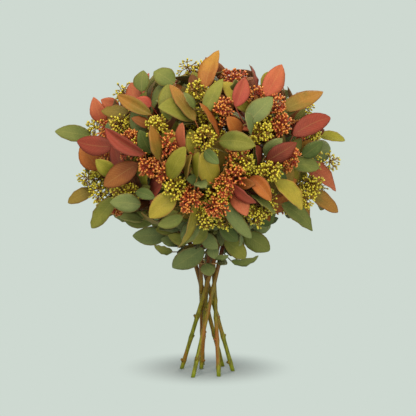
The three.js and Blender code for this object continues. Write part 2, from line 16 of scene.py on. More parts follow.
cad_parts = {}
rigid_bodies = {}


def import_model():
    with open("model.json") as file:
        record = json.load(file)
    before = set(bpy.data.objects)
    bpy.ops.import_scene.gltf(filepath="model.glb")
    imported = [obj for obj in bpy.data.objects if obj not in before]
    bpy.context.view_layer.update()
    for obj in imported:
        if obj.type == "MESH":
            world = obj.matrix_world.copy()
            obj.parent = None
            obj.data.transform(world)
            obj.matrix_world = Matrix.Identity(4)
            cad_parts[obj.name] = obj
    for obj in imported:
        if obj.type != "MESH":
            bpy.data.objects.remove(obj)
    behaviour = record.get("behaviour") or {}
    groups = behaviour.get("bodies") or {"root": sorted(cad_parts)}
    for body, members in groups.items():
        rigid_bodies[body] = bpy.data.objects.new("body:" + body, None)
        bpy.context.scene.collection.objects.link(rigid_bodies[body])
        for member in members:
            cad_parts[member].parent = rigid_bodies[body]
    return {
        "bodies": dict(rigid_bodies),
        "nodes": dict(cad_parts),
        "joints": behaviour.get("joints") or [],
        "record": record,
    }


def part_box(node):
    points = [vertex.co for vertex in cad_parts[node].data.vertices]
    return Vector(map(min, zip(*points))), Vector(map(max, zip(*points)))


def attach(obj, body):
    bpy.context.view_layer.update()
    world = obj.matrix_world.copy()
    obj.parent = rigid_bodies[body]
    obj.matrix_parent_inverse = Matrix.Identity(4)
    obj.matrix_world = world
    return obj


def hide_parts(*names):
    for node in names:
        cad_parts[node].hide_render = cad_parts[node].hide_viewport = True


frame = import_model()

bl_info = {
    "name": "Dried Eucalyptus Bunch",
    "version": (1, 0, 0),
    "blender": (4, 5, 0),
    "location": "View3D > Sidebar > Eucalyptus",
    "description": "Builds the bark, leaves, buds and twine of a dried eucalyptus bunch",
    "category": "Add Mesh",
}

MM = 0.001
GOLDEN_TURN = math.radians(137.508)
PARALLEL = 1e-9  # directions with a determinant below this count as parallel
UPRIGHT = 0.9  # an axis with a larger height than this counts as upright
TURN = 6.283  # a full turn, to the digits that the solids' rule takes
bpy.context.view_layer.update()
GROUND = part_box("leafy_stem_1")[0][2]  # the height of the cut ends

# ---- The bunch's real sizes, in millimetres ----
STEM_RADIUS = 3.2
STEM_TIP_RADIUS = 1.5
TIE_HEIGHT = 165
TIE_CIRCLE = 19  # the radius on which the outer stems stand at the twine
TIE_START = 120
STEM_GAP = 0.45
CORD_RADIUS = 1.4
CORD_CIRCLE = TIE_CIRCLE + STEM_RADIUS + STEM_GAP + CORD_RADIUS
CORD_CORNERS = 12
STEM_STEPS = 7
STEM_STRAIGHT = 12
STEM_PULLS = (70, 50)
FEET = ((0, 40), (50, 38), (100, 40), (160, 42), (240, 43), (300, 36))  # degrees and reach
CROWN_TURN = 38
CROWNS = ((118, 292), (88, 372))
FOOT_HEIGHT = -8.0  # heights are from a level just over the floor
INNER_FOOT = (-9.0, 13.0, FOOT_HEIGHT)
INNER_TIE = (2.0, -4.4, 165.0)
INNER_CROWN = (0.0, 0.0, 425.0)
HEAD = (  # heights of the head's outer form, and its radius there
    (150, 26), (222, 92), (236, 150), (262, 180), (310, 188),
    (360, 184), (408, 160), (430, 132), (455, 90), (470, 0),
)
HEART = (0.0, 0.0, 240.0)
BUNCH = (10.5, 5.2, -FOOT_HEIGHT)  # the stems' axis in the frame

# Sprays: a twig with its leaves, and a cluster where there is room.
SPRAYS = 85
SPRAY_SEEDS, FIRST_LEAF_SEED = 100, 11
SPRAY_STRAY = 0.12
SPRAY_DEPTH, THIN_SHARE, THIN_DEPTH = 30, 0.4, 4  # less deep where the head is thin
LEAVES_PER_SPRAY = 6
LEAF_PITCH = 14
FIRST_LEAF = (0.8, 0.4)  # pitches back from the end, on a high and on a low spray
LEAF_STRAY = 5
LEAF_TRIES = 16
LEVEL_HEIGHT, BIAS_OVER, LEAF_BIAS = 262, 90, 0.8  # leaves rise above this height, hang below

# Twigs and stalks.
PLACE_PITCH = 8
SHORTEST_STALK = 9
AHEAD = 1.8  # the less, the more a place that points at the stalk's end is preferred
TWIG_STEP, STALK_STEP, STALK_STEPS = 26, 30, 6
STALK_SLANT, STALK_PULL = 1.3, 0.35
TWIG_RADIUS = 1.5
STALK_RADIUS, STALK_ROOM = 0.9, 1.2

# Blades.
LEAF_LENGTH = (48, 68)
LOW_LEAF_LENGTH = (32, 50)
LOW_HEIGHT = 244
LEAF_WIDTH_SHARE = (0.5, 0.64)
LEAF_LIFT = (0.15, 0.75)
LEAF_OFFSET = (10, 18)
LEAF_RISE = 8
LEAF_OVERHANG = 16
BLADE_STATIONS = (0, 0.3, 0.66, 1)
BLADE_EDGES, BLADE_SHEETS = 11, 18  # that guard a blade between those stations
BLADE_SCALE, BLADE_FULLNESS, BLADE_TIP = 2.62, 0.62, 0.78
BLADE_REACH = 0.62
LEAST_ARCH, MORE_ARCH = 0.02, 0.07
SICKLE, TWIST, ROLL, FRONT_ROLL = 0.05, 0.3, 0.6, 0.3

# Clusters.
CLUSTER_REACH = 22
RAY_SPREAD = (0.8, 1.05)
HUB_TURN = 6
BUD_RADIUS = 2.1
YELLOW_SHARE = 0.6

# Room kept free.
FRONT_CLEARING = 7
CLUSTER_CLEARING = 15
FRONT_SPACING = 22
MORE_SPACING = 15
CLUSTER_SPACING = 36
NO_CLUSTER = 1000
BLADE_CLEARING = (1.3, -0.5, -2.6)  # the lifts of a blade's guarding sheets
RIM_CLEARING = 1
ROD_CLEARING = 0.6
NEARBY = 4  # guards farther off than this aren't tested one by one

# Finer growth between the twigs: small inner leaves and side tufts of buds.
BARE_SEEDS, FILL_SEEDS = 50000, 40000  # for twigs without a cluster, and for this growth
FILL_FROM = 174  # the height of the lowest
FILL_ROUNDS = 6
INNER_LENGTH = (28, 46)
INNER_OFFSET = 9
INNER_AIM = (0.3, 1.3)
INNER_CLEARING = 5
FIRST_SIZE, LOW_SIZE = 1.35, 0.75
TUFT_TURN = 3  # in the later rounds every third place may bear a tuft
TUFT_REACH = (15, 27)
TUFT_ROOM = 2.8
TUFT_SPACING = 10

# The front, as the eye sees it.
EYE = (0.0, -1980.0, 522.0)
SIGHT_FROM, SIGHT_TO, SIGHT_STEP = 220, 15, 2
DEEPEST_SHARE = 0.3
FRONT_DEPTHS = (22, 15, 29, 9, 36, 3)
BEHIND_DEPTHS = (29, 36, 22, 44, 14, 52, 7)
CLUSTER_DEPTH = 18
FRONT_RISE = 28
FRONT_PLACES = slice(0, 40, 4)  # the stalk places that are tried
TWIG_PLACES = slice(0, None, 2)
STEEPEST = 0.45
EDGE_ON_SEEN = 18  # a leaf that shows narrower than this is turned edge on
EDGE_ON_WIDTH, EDGE_ON_ROLL = 26, 1.05
CLUSTER_SEEDS, LEAF_SEEDS = 8000, 9000

# The finished bark.
BARK_SEEDS = 500
BARK_STEP = 9
FOOT_RINGS = 28
STEM_SIDES, SCAR_SIDES = 12, 7
THIN_SIDES = 6  # of twigs, leaf stalks and strands of twine
ROUGH_TURN = 6.28  # nearly a full turn
ANY_ANGLE = (0, ROUGH_TURN)
FIRST_SCAR, NEXT_SCAR = (0.35, 0.8), (0.8, 1.25)  # in node pitches
SCARLESS_TOP, SCARLESS_WAIST = 30, 45
SCAR_STRAY = 0.6
SCAR_RISE, SCAR_INSET, SCAR_ROOT = 0.7, 0.55, 1.6
SCAR_FOOT, SCAR_TOP = 3.0, 1.7
SWELLING_REACH = 4.0
AGE_FROM, AGE_OVER = 85, 120  # the bark reddens over this length of a stem
TWIG_AGE, SCAR_AGE = (0.35, 1.0), 0.4

# The finished leaves.
BLADE_SEEDS = 20000
BLADE_COLUMNS, BLADE_STEPS, INNER_STEPS = 4, 10, 6
FOLD_SPREAD, WAVE_SPREAD = (0.3, 1.6), (0.2, 1.3)
CUPPING = 0.18  # how far the folded halves level off toward the rim
TIPS = (0.62, 0.92)  # how far the tips are drawn out
TIP_HALF = 0.12  # the least half width, at a blade's ends
RIPPLES, RIPPLE_SHIFT = (2.0, 3.6), 1.5
WAVED_HALF = 8  # a blade half as wide as this or more waves in full
SMOOTH_STALK_STEP = 7
STALK_PLACE = (0.5, 0.0, 0.0)  # where on a blade there is neither vein nor rim
STALK_RADII = (0.75, 0.85)
KEEL_SHARES, KEEL_RADII, KEEL_DROP = (0.05, 0.12, 0.22), (0.75, 0.5, 0.2), 0.45

# The finished buds.
BUD_SEEDS = 30000
HEAD_REACH = 36  # no bud of a cluster or tuft is farther from its hub
BUD_OVERHANG = 0.75
FORK_SPREAD = (0.75, 1.05)
BRANCH_RADII = (0.75, 0.6)
BUD_LEAN, BUD_STRAY = (0.35, 1.45), 0.3
BUDDING_LENGTH = 7.0
BUD_STALKS, BUD_STALK_RADII, BUD_STALK_SIDES = (0.7, 1.3), (0.4, 0.55), 4
BUD_LENGTHS = (0.88, 1.1)
BUD_FILL, BUD_NARROWING, BUD_SUNK = 1.1, 0.3, 0.4  # 20 flat faces need a wider sphere

# The twine's strands.
STRANDS, STRAND_STEPS, TWISTS = 3, 96, 26
STRAND_OFFSET, STRAND_RADIUS = 0.66, 0.72

# The stage. The floor and the lights are in metres: each light's place and size are followed by
# its share of the key light's power.
LENS, SENSOR = 113.5, 36.0
LOOK_AT = (1.5, 0.0, 247.0)
FLOOR_RADIUS, FLOOR_SIDES = 8.0, 96
LIGHTS = (
    ("key", (-0.6, -1.4, 2.3), 1.3, 1.0),
    ("fill", (0.7, -2.4, 0.6), 1.8, 0.72),
    ("back", (0.6, 2.0, 1.7), 1.6, 0.85),
)
LIT = (0, 0, 0.28)  # what the lights aim at
WARM_WHITE = "#fff1e0"

# The leaves of the front: base and tip as seen from the eye, width, the colouring of each, and
# the degrees by which its halves fold up where it is folded far.
FRONT_LEAVES = (
    (-3, 429, 17, 487, 32, "amber"),
    (-175, 356, -230, 364, 30, "green"),
    (-155, 376, -171, 416, 26, "salmon"),
    (-119, 392, -160, 395, 24, "olive"),
    (-84, 389, -133, 420, 30, "honey", 48),
    (-98, 424, -94, 457, 26, "green"),
    (-49, 436, -79, 455, 30, "green"),
    (-56, 381, -59, 435, 26, "moss"),
    (-18, 380, -56, 435, 22, "honey"),
    (-142, 341, -192, 353, 30, "crimson"),
    (-94, 329, -154, 369, 38, "crimson", 56),
    (-162, 306, -190, 346, 34, "copper"),
    (-140, 299, -169, 321, 26, "lime"),
    (-105, 315, -157, 281, 32, "russet"),
    (-172, 275, -212, 255, 24, "olive"),
    (-139, 262, -172, 224, 30, "moss"),
    (-101, 252, -148, 256, 28, "sage"),
    (-47, 269, -88, 232, 34, "straw", 28),
    (-98, 229, -133, 232, 14, "sage"),
    (-61, 207, -114, 204, 32, "sage"),
    (-21, 252, -44, 195, 14, "straw"),
    (-12, 221, -37, 202, 26, "sage"),
    (-6, 185, -53, 155, 36, "sage"),
    (-53, 179, -81, 189, 22, "moss"),
    (72, 424, 62, 466, 16, "crimson"),
    (43, 401, 56, 446, 28, "rose", 32),
    (88, 418, 110, 466, 32, "salmon"),
    (-2, 392, 24, 444, 24, "moss"),
    (62, 376, 99, 416, 34, "sage"),
    (114, 396, 171, 426, 30, "honey"),
    (130, 358, 181, 389, 30, "crimson"),
    (169, 358, 209, 350, 22, "lime"),
    (145, 326, 175, 349, 24, "pine"),
    (91, 319, 136, 347, 26, "claret"),
    (18, 349, 73, 343, 30, "moss"),
    (50, 356, 30, 386, 26, "copper"),
    (18, 358, -11, 407, 16, "copper"),
    (66, 295, 98, 258, 28, "copper", 38),
    (38, 282, 75, 255, 14, "rose"),
    (24, 253, 66, 210, 20, "sage"),
    (-8, 206, 17, 184, 24, "sage"),
    (102, 289, 145, 244, 34, "straw", 36),
    (114, 253, 155, 224, 30, "green"),
    (154, 273, 198, 244, 28, "honey"),
    (56, 207, 96, 181, 32, "green"),
    (37, 165, 79, 173, 26, "green"),
    (26, 198, 59, 172, 26, "moss"),
    (67, 267, 105, 238, 14, "green"),
    (-3, 161, 6, 142, 14, "sage"),
)
# Leaves of the front that show between and behind those, too many for the solids.
MORE_FRONT_LEAVES = (
    (128, 312, 171, 309, 26, "green"),
    (-58, 292, -33, 340, 28, "lime"),
    (88, 327, 114, 353, 24, "sage"),
    (12, 283, -32, 291, 24, "pine"),
    (20, 222, 47, 203, 24, "pine"),
    (81, 220, 104, 239, 22, "pine"),
    (-26, 197, -60, 205, 20, "moss"),
    (-37, 234, -75, 220, 20, "green"),
    (-1, 216, -20, 194, 20, "moss"),
    (8, 190, 12, 168, 20, "sage"),
    (11, 162, 39, 178, 18, "sage"),
    (42, 182, 82, 184, 26, "green"),
    (-20, 232, -48, 238, 22, "green"),
    (-45, 192, -71, 197, 18, "sage"),
    (-72, 222, -102, 236, 16, "olive"),
    (-85, 331, -102, 366, 24, "pine"),
    (-133, 400, -160, 412, 22, "salmon"),
    (85, 425, 91, 455, 18, "lime"),
    (85, 211, 106, 203, 14, "russet"),
    (50, 211, 49, 188, 12, "sage"),
    (-51, 186, -66, 167, 12, "sage"),
    (-18, 285, -1, 276, 14, "sage"),
    (-108, 272, -80, 257, 18, "pine"),
    (-70, 279, -80, 300, 18, "pine"),
    (-32, 293, -23, 328, 14, "olive"),
    (-15, 293, -12, 331, 14, "lime"),
    (-3, 335, 18, 313, 18, "pine"),
    (-35, 331, -37, 377, 16, "salmon"),
    (-35, 351, -63, 328, 16, "copper"),
    (-12, 359, -35, 377, 14, "green"),
    (-72, 321, -85, 374, 14, "honey"),
    (-64, 322, -73, 360, 12, "green"),
    (-140, 350, -149, 377, 14, "sage"),
    (-20, 398, -35, 423, 14, "green"),
    (-84, 403, -107, 414, 18, "rose"),
    (20, 429, 20, 456, 16, "salmon"),
    (38, 427, 43, 443, 14, "green"),
    (126, 357, 117, 395, 16, "green"),
    (105, 366, 81, 379, 18, "pine"),
    (67, 359, 58, 392, 12, "sage"),
    (131, 357, 145, 376, 18, "crimson"),
    (184, 362, 206, 359, 12, "rose"),
    (139, 334, 165, 348, 18, "honey"),
    (78, 309, 75, 341, 14, "claret"),
    (35, 312, 46, 339, 12, "copper"),
    (34, 310, 20, 289, 12, "honey"),
    (175, 298, 189, 304, 16, "green"),
    (-181, 304, -192, 313, 16, "pine"),
    (28, 238, 62, 240, 18, "pine"),
    (45, 232, 30, 250, 18, "moss"),
    (120, 284, 100, 300, 18, "pine"),
)
# The bud clusters of the front, yellow or orange, and what share of its buds a thin one bears.
FRONT_CLUSTERS = (
    (-76, 372, "yellow"),
    (-6, 356, "yellow"),
    (-15, 426, "yellow"),
    (-111, 329, "orange"),
    (-90, 309, "orange"),
    (-180, 293, "yellow"),
    (-163, 269, "yellow"),
    (-130, 272, "yellow"),
    (-50, 278, "yellow"),
    (-26, 258, "orange"),
    (-3, 230, "yellow"),
    (30, 279, "orange"),
    (14, 249, "orange"),
    (55, 318, "yellow"),
    (96, 306, "yellow"),
    (126, 324, "orange"),
    (169, 287, "yellow"),
    (76, 235, "yellow"),
    (23, 400, "orange"),
    (105, 403, "orange"),
    (158, 364, "yellow"),
    (82, 364, "yellow"),
    (-126, 423, "yellow", 0.4),
    (-29, 460, "yellow", 0.4),
    (-168, 370, "yellow"),
    (149, 403, "yellow", 0.4),
    (41, 444, "orange"),
)

# Clusters of the front that show between and behind those.
MORE_FRONT_CLUSTERS = (
    (-137, 336, "orange"),
    (-117, 349, "orange"),
    (-133, 375, "yellow"),
    (-99, 419, "orange"),
    (70, 418, "orange"),
    (52, 394, "yellow"),
    (46, 338, "orange"),
    (130, 292, "orange"),
    (186, 318, "yellow", 0.5),
    (-66, 302, "orange"),
    (0, 395, "orange"),
    (112, 372, "orange"),
    (-60, 345, "orange"),
    (45, 300, "orange"),
    (158, 284, "yellow"),
    (150, 262, "yellow"),
    (-150, 312, "yellow", 0.7),
    (-40, 400, "orange"),
)

# Each leaf colouring: at the base, at the tip, and along the rim.
COLOURINGS = {
    "amber": ("#a8683a", "#c08c42", "#a85f34"),
    "honey": ("#857233", "#ab793a", "#985a35"),
    "salmon": ("#b65a4c", "#c16a53", "#a24a38"),
    "rose": ("#b04a48", "#ba5850", "#923834"),
    "crimson": ("#883a34", "#983f38", "#742d28"),
    "claret": ("#64231c", "#803529", "#541d17"),
    "copper": ("#a05527", "#b56b35", "#8a4420"),
    "russet": ("#8a4a2c", "#9c5f34", "#7a3c22"),
    "olive": ("#7a6a2c", "#8c7634", "#8a5a30"),
    "lime": ("#7f7f22", "#97933a", "#97733a"),
    "straw": ("#938c36", "#ab9c42", "#b07a4a"),
    "moss": ("#6c7434", "#8a8c42", "#8c6a3c"),
    "green": ("#62703a", "#778048", "#7f6a40"),
    "sage": ("#667650", "#7d8a5e", "#8c7a52"),
    "pine": ("#485c2e", "#5c6f3e", "#6c6440"),
}
LEAF_HUE = (1.0, 0.95, 0.66)  # takes out what the cool light of the backdrop adds
# How often the other leaves take each colouring, from the crown down.
HIGH_MIX = (
    ("amber", 8), ("honey", 10), ("salmon", 13), ("rose", 7), ("crimson", 10), ("copper", 10),
    ("olive", 8), ("moss", 10), ("straw", 6), ("green", 12), ("sage", 6),
)
MIDDLE_MIX = (
    ("salmon", 6), ("crimson", 9), ("copper", 9), ("russet", 8), ("honey", 8), ("olive", 10),
    ("lime", 8), ("straw", 8), ("moss", 10), ("green", 14), ("sage", 10),
)
LOW_MIX = (("olive", 8), ("moss", 17), ("green", 35), ("sage", 32), ("pine", 8))
# The inner leaves take darker colourings, as a painted shade for the depth of the head.
INNER_MIX = (("russet", 20), ("copper", 12), ("olive", 22), ("moss", 22), ("pine", 14), ("claret", 10))
HIGH_FROM, MIDDLE_FROM = 345, 250
# The last of these darkens the inner leaves more, a painted shade for the depth of the head.
LEAF_SHADE, SHADE_SPREAD, INNER_PAINTED_SHADE = 0.76, 0.1, 0.56
# The buds' colours: at the stalk, at the shoulder, and on the cap.
BUD_COLOURS = {
    "yellow": ("#96701c", "#a89a22", "#d6c636"),
    "orange": ("#a43a1c", "#b5501f", "#d48e38"),
}


# ---- Points and directions, as exact triples ----


def along(point, direction, length):
    return tuple(p + d * length for p, d in zip(point, direction))


def minus(one, other):
    return (one[0] - other[0], one[1] - other[1], one[2] - other[2])


def dot(one, other):
    return one[0] * other[0] + one[1] * other[1] + one[2] * other[2]


def cross(one, other):
    return (
        one[1] * other[2] - one[2] * other[1],
        one[2] * other[0] - one[0] * other[2],
        one[0] * other[1] - one[1] * other[0],
    )


def distance(one, other):
    gap = minus(one, other)
    return math.sqrt(dot(gap, gap))


def unit(vector):
    size = math.sqrt(dot(vector, vector))
    return (vector[0] / size, vector[1] / size, vector[2] / size)


def toward(start, end):
    return unit(minus(end, start))


def between_points(start, end, share):
    return along(start, minus(end, start), share)


def outward(point):
    return toward(HEART, point)


def square_to(vector, axis):
    return unit(along(vector, axis, -dot(vector, axis)))


def any_square_to(axis):
    return square_to((0.0, 0.0, 1.0) if abs(axis[2]) < UPRIGHT else (1.0, 0.0, 0.0), axis)


def turned(vector, axis, angle):
    level = tuple(v * math.cos(angle) for v in vector)
    swung = along(level, cross(axis, vector), math.sin(angle))
    return along(swung, axis, dot(axis, vector) * (1 - math.cos(angle)))


def polar(degrees, radius, height):
    angle = math.radians(degrees)
    return (radius * math.cos(angle), radius * math.sin(angle), float(height))


# ---- Repeatable draws ----


def stream(seed):
    """Draws between 0 and 1 that are the same on every run."""
    state = [seed & 0xFFFFFFFF]

    def draw():
        state[0] = (state[0] + 0x6D2B79F5) & 0xFFFFFFFF
        t = state[0]
        t = ((t ^ (t >> 15)) * (t | 1)) & 0xFFFFFFFF
        t ^= (t + (((t ^ (t >> 7)) * (t | 61)) & 0xFFFFFFFF)) & 0xFFFFFFFF
        return (t ^ (t >> 14)) / 4294967296

    return draw


def between(draw, limits):
    return limits[0] + (limits[1] - limits[0]) * draw()


def spread(draw, reach):
    return reach * (2 * draw() - 1)


def pick(draw, mix):
    """One name of a mix, as often as its weight says."""
    left = draw() * sum(weight for _, weight in mix)
    for name, weight in mix:
        left -= weight
        if left < 0:
            return name
    return mix[-1][0]


# ---- The head's outer form ----


def head_radius(height):
    above = next((i for i, (z, _) in enumerate(HEAD) if z >= height), None)
    if above is None:
        return 0.0
    z1, r1 = HEAD[max(above, 1)]
    z0, r0 = HEAD[max(above, 1) - 1]
    return max(0.0, r0 + ((r1 - r0) * (height - z0)) / (z1 - z0))


def surface_point(share, angle):
    """The point of the head's surface below which that share of its area lies."""
    bands = list(zip(HEAD, HEAD[1:]))
    areas = [(r0 + r1) * math.hypot(r1 - r0, z1 - z0) for (z0, r0), (z1, r1) in bands]
    left = share * sum(areas)
    band = 0
    while left > areas[band] and band < len(areas) - 1:
        left -= areas[band]
        band += 1
    part = left / areas[band]
    (z0, r0), (z1, r1) = bands[band]
    radius = r0 + (r1 - r0) * part
    return (radius * math.cos(angle), radius * math.sin(angle), z0 + (z1 - z0) * part)


def sighted(across, height, depth):
    """Where a line of sight first comes within a depth of the head's surface."""
    aim = (float(across), 0.0, float(height))
    sight = toward(EYE, aim)
    for near in range(SIGHT_FROM, SIGHT_TO, -SIGHT_STEP):
        point = along(aim, sight, -near)
        radius = head_radius(point[2])
        if math.hypot(point[0], point[1]) <= radius - min(depth, radius * DEEPEST_SHARE):
            return point
    return along(aim, sight, -SIGHT_TO)


# ---- Guards against crossing: blades as sheets, twigs as rods ----


def total(products):
    return products[..., 0] + products[..., 1] + products[..., 2]


def pierced(starts, ends, sheets):
    """Whether each segment passes through each sheet."""
    start = starts[:, None, :]
    run = (ends - starts)[:, None, :]
    corner = sheets[None, :, 0]
    e1 = sheets[None, :, 1] - corner
    e2 = sheets[None, :, 2] - corner
    h = np.cross(run, e2)
    size = total(e1 * h)
    flat = np.abs(size) < PARALLEL
    size = np.where(flat, 1.0, size)
    offset = start - corner
    u = total(offset * h) / size
    k = np.cross(offset, e1)
    w = total(run * k) / size
    t = total(e2 * k) / size
    return ~flat & (u >= 0) & (u <= 1) & (w >= 0) & (u + w <= 1) & (t >= 0) & (t <= 1)


def gaps(starts, ends, others, other_ends):
    """The shortest distance of each segment from each other segment."""
    p1, p2 = starts[:, None, :], others[None, :, :]
    d1, d2 = (ends - starts)[:, None, :], (other_ends - others)[None, :, :]
    r = p1 - p2
    a, e, b = total(d1 * d1), total(d2 * d2), total(d1 * d2)
    c, f = total(d1 * r), total(d2 * r)
    size = a * e - b * b
    steep = size > PARALLEL
    s = np.where(steep, np.clip((b * f - c * e) / np.where(steep, size, 1.0), 0, 1), 0.0)
    t = np.clip((b * s + f) / e, 0, 1)
    s = np.clip((b * t - c) / a, 0, 1)
    apart = (p1 + d1 * s[..., None]) - (p2 + d2 * t[..., None])
    return np.sqrt(total(apart * apart))


class Guards:
    """Everything that already stands in the bunch, so that nothing new crosses it."""

    MOST_BLADES, MOST_RODS = 2000, 9000

    def __init__(self):
        self.blades = 0
        self.edges = np.zeros((self.MOST_BLADES, BLADE_EDGES, 2, 3))
        self.sheets = np.zeros((self.MOST_BLADES, BLADE_SHEETS, 3, 3))
        self.middles = np.zeros((self.MOST_BLADES, 3))
        self.reaches = np.zeros(self.MOST_BLADES)
        self.rods = 0
        self.starts = np.zeros((self.MOST_RODS, 3))
        self.ends = np.zeros((self.MOST_RODS, 3))
        self.radii = np.zeros(self.MOST_RODS)
        self.owners = np.zeros(self.MOST_RODS, int)
        self.hubs = []

    def add_blade(self, blade):
        self.edges[self.blades] = blade["edges"]
        self.sheets[self.blades] = blade["sheets"]
        self.middles[self.blades] = blade["middle"]
        self.reaches[self.blades] = blade["reach"]
        self.blades += 1

    def add_rods(self, owner, rods):
        for start, end, radius in rods:
            self.starts[self.rods] = start
            self.ends[self.rods] = end
            self.radii[self.rods] = radius
            self.owners[self.rods] = owner
            self.rods += 1

    def near_blades(self, middle, reach):
        gap = self.middles[: self.blades] - np.array(middle)
        return np.sqrt(total(gap * gap)) < self.reaches[: self.blades] + reach + NEARBY

    def near_rods(self, middle, reach):
        starts, ends = self.starts[: self.rods], self.ends[: self.rods]
        run = ends - starts
        reaches = np.sqrt(total(run * run)) / 2 + self.radii[: self.rods]
        gap = starts + run * 0.5 - np.array(middle)
        return np.sqrt(total(gap * gap)) < reaches + reach + NEARBY

    def around(self, middle, reach):
        """The guards near a place, for many tests there."""
        part = Guards.__new__(Guards)
        near = self.near_blades(middle, reach)
        part.blades = int(near.sum())
        for name in ("edges", "sheets", "middles", "reaches"):
            setattr(part, name, getattr(self, name)[: self.blades][near])
        near = self.near_rods(middle, reach)
        part.rods = int(near.sum())
        for name in ("starts", "ends", "radii", "owners"):
            setattr(part, name, getattr(self, name)[: self.rods][near])
        return part

    def blade_blocked(self, blade, clearing):
        near = self.near_blades(blade["middle"], blade["reach"])
        edges, sheets = blade["edges"], blade["sheets"]
        if near.any():
            others = self.sheets[: self.blades][near].reshape(-1, 3, 3)
            if pierced(edges[:, 0], edges[:, 1], others).any():
                return True
            others = self.edges[: self.blades][near].reshape(-1, 2, 3)
            if pierced(others[:, 0], others[:, 1], sheets).any():
                return True
        near = self.near_rods(blade["middle"], blade["reach"])
        if near.any():
            starts, ends = self.starts[: self.rods][near], self.ends[: self.rods][near]
            if pierced(starts, ends, sheets).any():
                return True
            room = self.radii[: self.rods][near] + RIM_CLEARING
            if (gaps(starts, ends, edges[:, 0], edges[:, 1]) < room[:, None]).any():
                return True
        if self.hubs:
            hubs = np.array(self.hubs)[:, None, :]
            run = (edges[:, 1] - edges[:, 0])[None, :, :]
            offset = hubs - edges[None, :, 0]
            share = np.clip(total(offset * run) / total(run * run), 0, 1)
            gap = offset - run * share[..., None]
            if (np.sqrt(total(gap * gap)) < clearing).any():
                return True
        return False

    def rod_blocked(self, owner, start, end, radius):
        """Whether a rod meets a blade, or comes too near a rod of another stem."""
        middle = between_points(start, end, 0.5)
        reach = distance(start, end) / 2 + radius
        starts, ends = np.array([start]), np.array([end])
        near = self.near_blades(middle, reach)
        if near.any():
            if pierced(starts, ends, self.sheets[: self.blades][near].reshape(-1, 3, 3)).any():
                return True
            edges = self.edges[: self.blades][near].reshape(-1, 2, 3)
            if (gaps(starts, ends, edges[:, 0], edges[:, 1]) < radius + RIM_CLEARING).any():
                return True
        near = self.near_rods(middle, reach) & (self.owners[: self.rods] != owner)
        if near.any():
            others, other_ends = self.starts[: self.rods][near], self.ends[: self.rods][near]
            room = radius + self.radii[: self.rods][near] + ROD_CLEARING
            if (gaps(starts, ends, others, other_ends)[0] < room).any():
                return True
        return False

    def blocked(self, owner, blade, rods, clearing):
        if blade and self.blade_blocked(blade, clearing):
            return True
        return any(self.rod_blocked(owner, *rod) for rod in rods)


# ---- Growth ----


def curve(a, b, c, d, steps):
    """Points along a cubic curve with these four control points."""
    points = []
    for i in range(steps + 1):
        t = i / steps
        k = 1 - t
        points.append(
            tuple(
                k * k * k * p + 3 * k * k * t * q + 3 * k * t * t * r + t * t * t * s
                for p, q, r, s in zip(a, b, c, d)
            )
        )
    return points


def places_on(path):
    """Places along a path where twigs and stalks may leave it, with its direction there."""
    places = []
    for start, end in zip(path, path[1:]):
        count = math.ceil(distance(start, end) / PLACE_PITCH)
        tangent = toward(start, end)
        places += [(between_points(start, end, (n + 0.5) / count), tangent) for n in range(count)]
    return places


def point_back(path, back):
    """The point of a path at a distance back from its end."""
    left = back
    for start, end in zip(path[-2::-1], path[:0:-1]):
        length = distance(start, end)
        if left < length:
            return between_points(end, start, left / length)
        left -= length
    return path[0]


def taper(count, start, end):
    """So many values, evenly spaced from the first to the last."""
    return [start + ((end - start) * i) / max(1, count - 1) for i in range(count)]


def lengths_along(path):
    """How far along a path each of its points lies."""
    lengths = [0.0]
    for start, end in zip(path, path[1:]):
        lengths.append(lengths[-1] + distance(start, end))
    return lengths


def rods_of(path, radii):
    """A path's straight pieces as guard rods."""
    return [(start, end, radius) for start, end, radius in zip(path, path[1:], radii)]


def rank_places(places, end):
    """Places from which a new stalk could reach its end, the best first."""
    ranked = []
    for point, tangent in places:
        away = distance(point, end)
        if away > SHORTEST_STALK:
            detour = AHEAD - dot(tangent, toward(point, end))
            ranked.append((away * detour, (point, tangent)))
    return [place for _, place in sorted(ranked, key=lambda one: one[0])]


def stalk_path(place, end, direction, pitch):
    """A path from a place that leaves it at a slant and arrives along the given direction."""
    point, tangent = place
    length = distance(point, end)
    steps = max(1, min(STALK_STEPS, math.floor(length / pitch + 0.5)))
    leave = unit(along(tangent, toward(point, end), STALK_SLANT))
    pull = length * STALK_PULL
    return curve(point, along(point, leave, pull), along(end, direction, -pull), end, steps)


def blade_shape(s):
    """Width along the blade as a share of the widest, full below the middle."""
    return BLADE_SCALE * s**BLADE_FULLNESS * (1 - s) ** BLADE_TIP


def outline(tip):
    """A blade's outline whose tip is blunt at 0.6 and drawn out to a point at 0.95."""
    widest = BLADE_FULLNESS / (BLADE_FULLNESS + tip)
    scale = 1 / (widest**BLADE_FULLNESS * (1 - widest) ** tip)
    return lambda s: scale * s**BLADE_FULLNESS * (1 - s) ** tip


def blade_station(leaf, s, shape=blade_shape):
    """The middle, the sideways and facing directions and half the width of a blade."""
    bow = 4 * s * (1 - s) * leaf["length"]
    middle = along(leaf["base"], leaf["direction"], leaf["length"] * s)
    middle = along(middle, leaf["face"], leaf["arch"] * bow)
    middle = along(middle, leaf["side"], leaf["sickle"] * bow)
    turn = leaf["twist"] * s
    across = along(
        tuple(v * math.cos(turn) for v in leaf["side"]), leaf["face"], math.sin(turn)
    )
    face = along(
        tuple(v * math.cos(turn) for v in leaf["face"]), leaf["side"], -math.sin(turn)
    )
    half = max((leaf["width"] / 2) * shape(s), STALK_RADIUS if s < 0.5 else 0)
    return middle, across, face, half


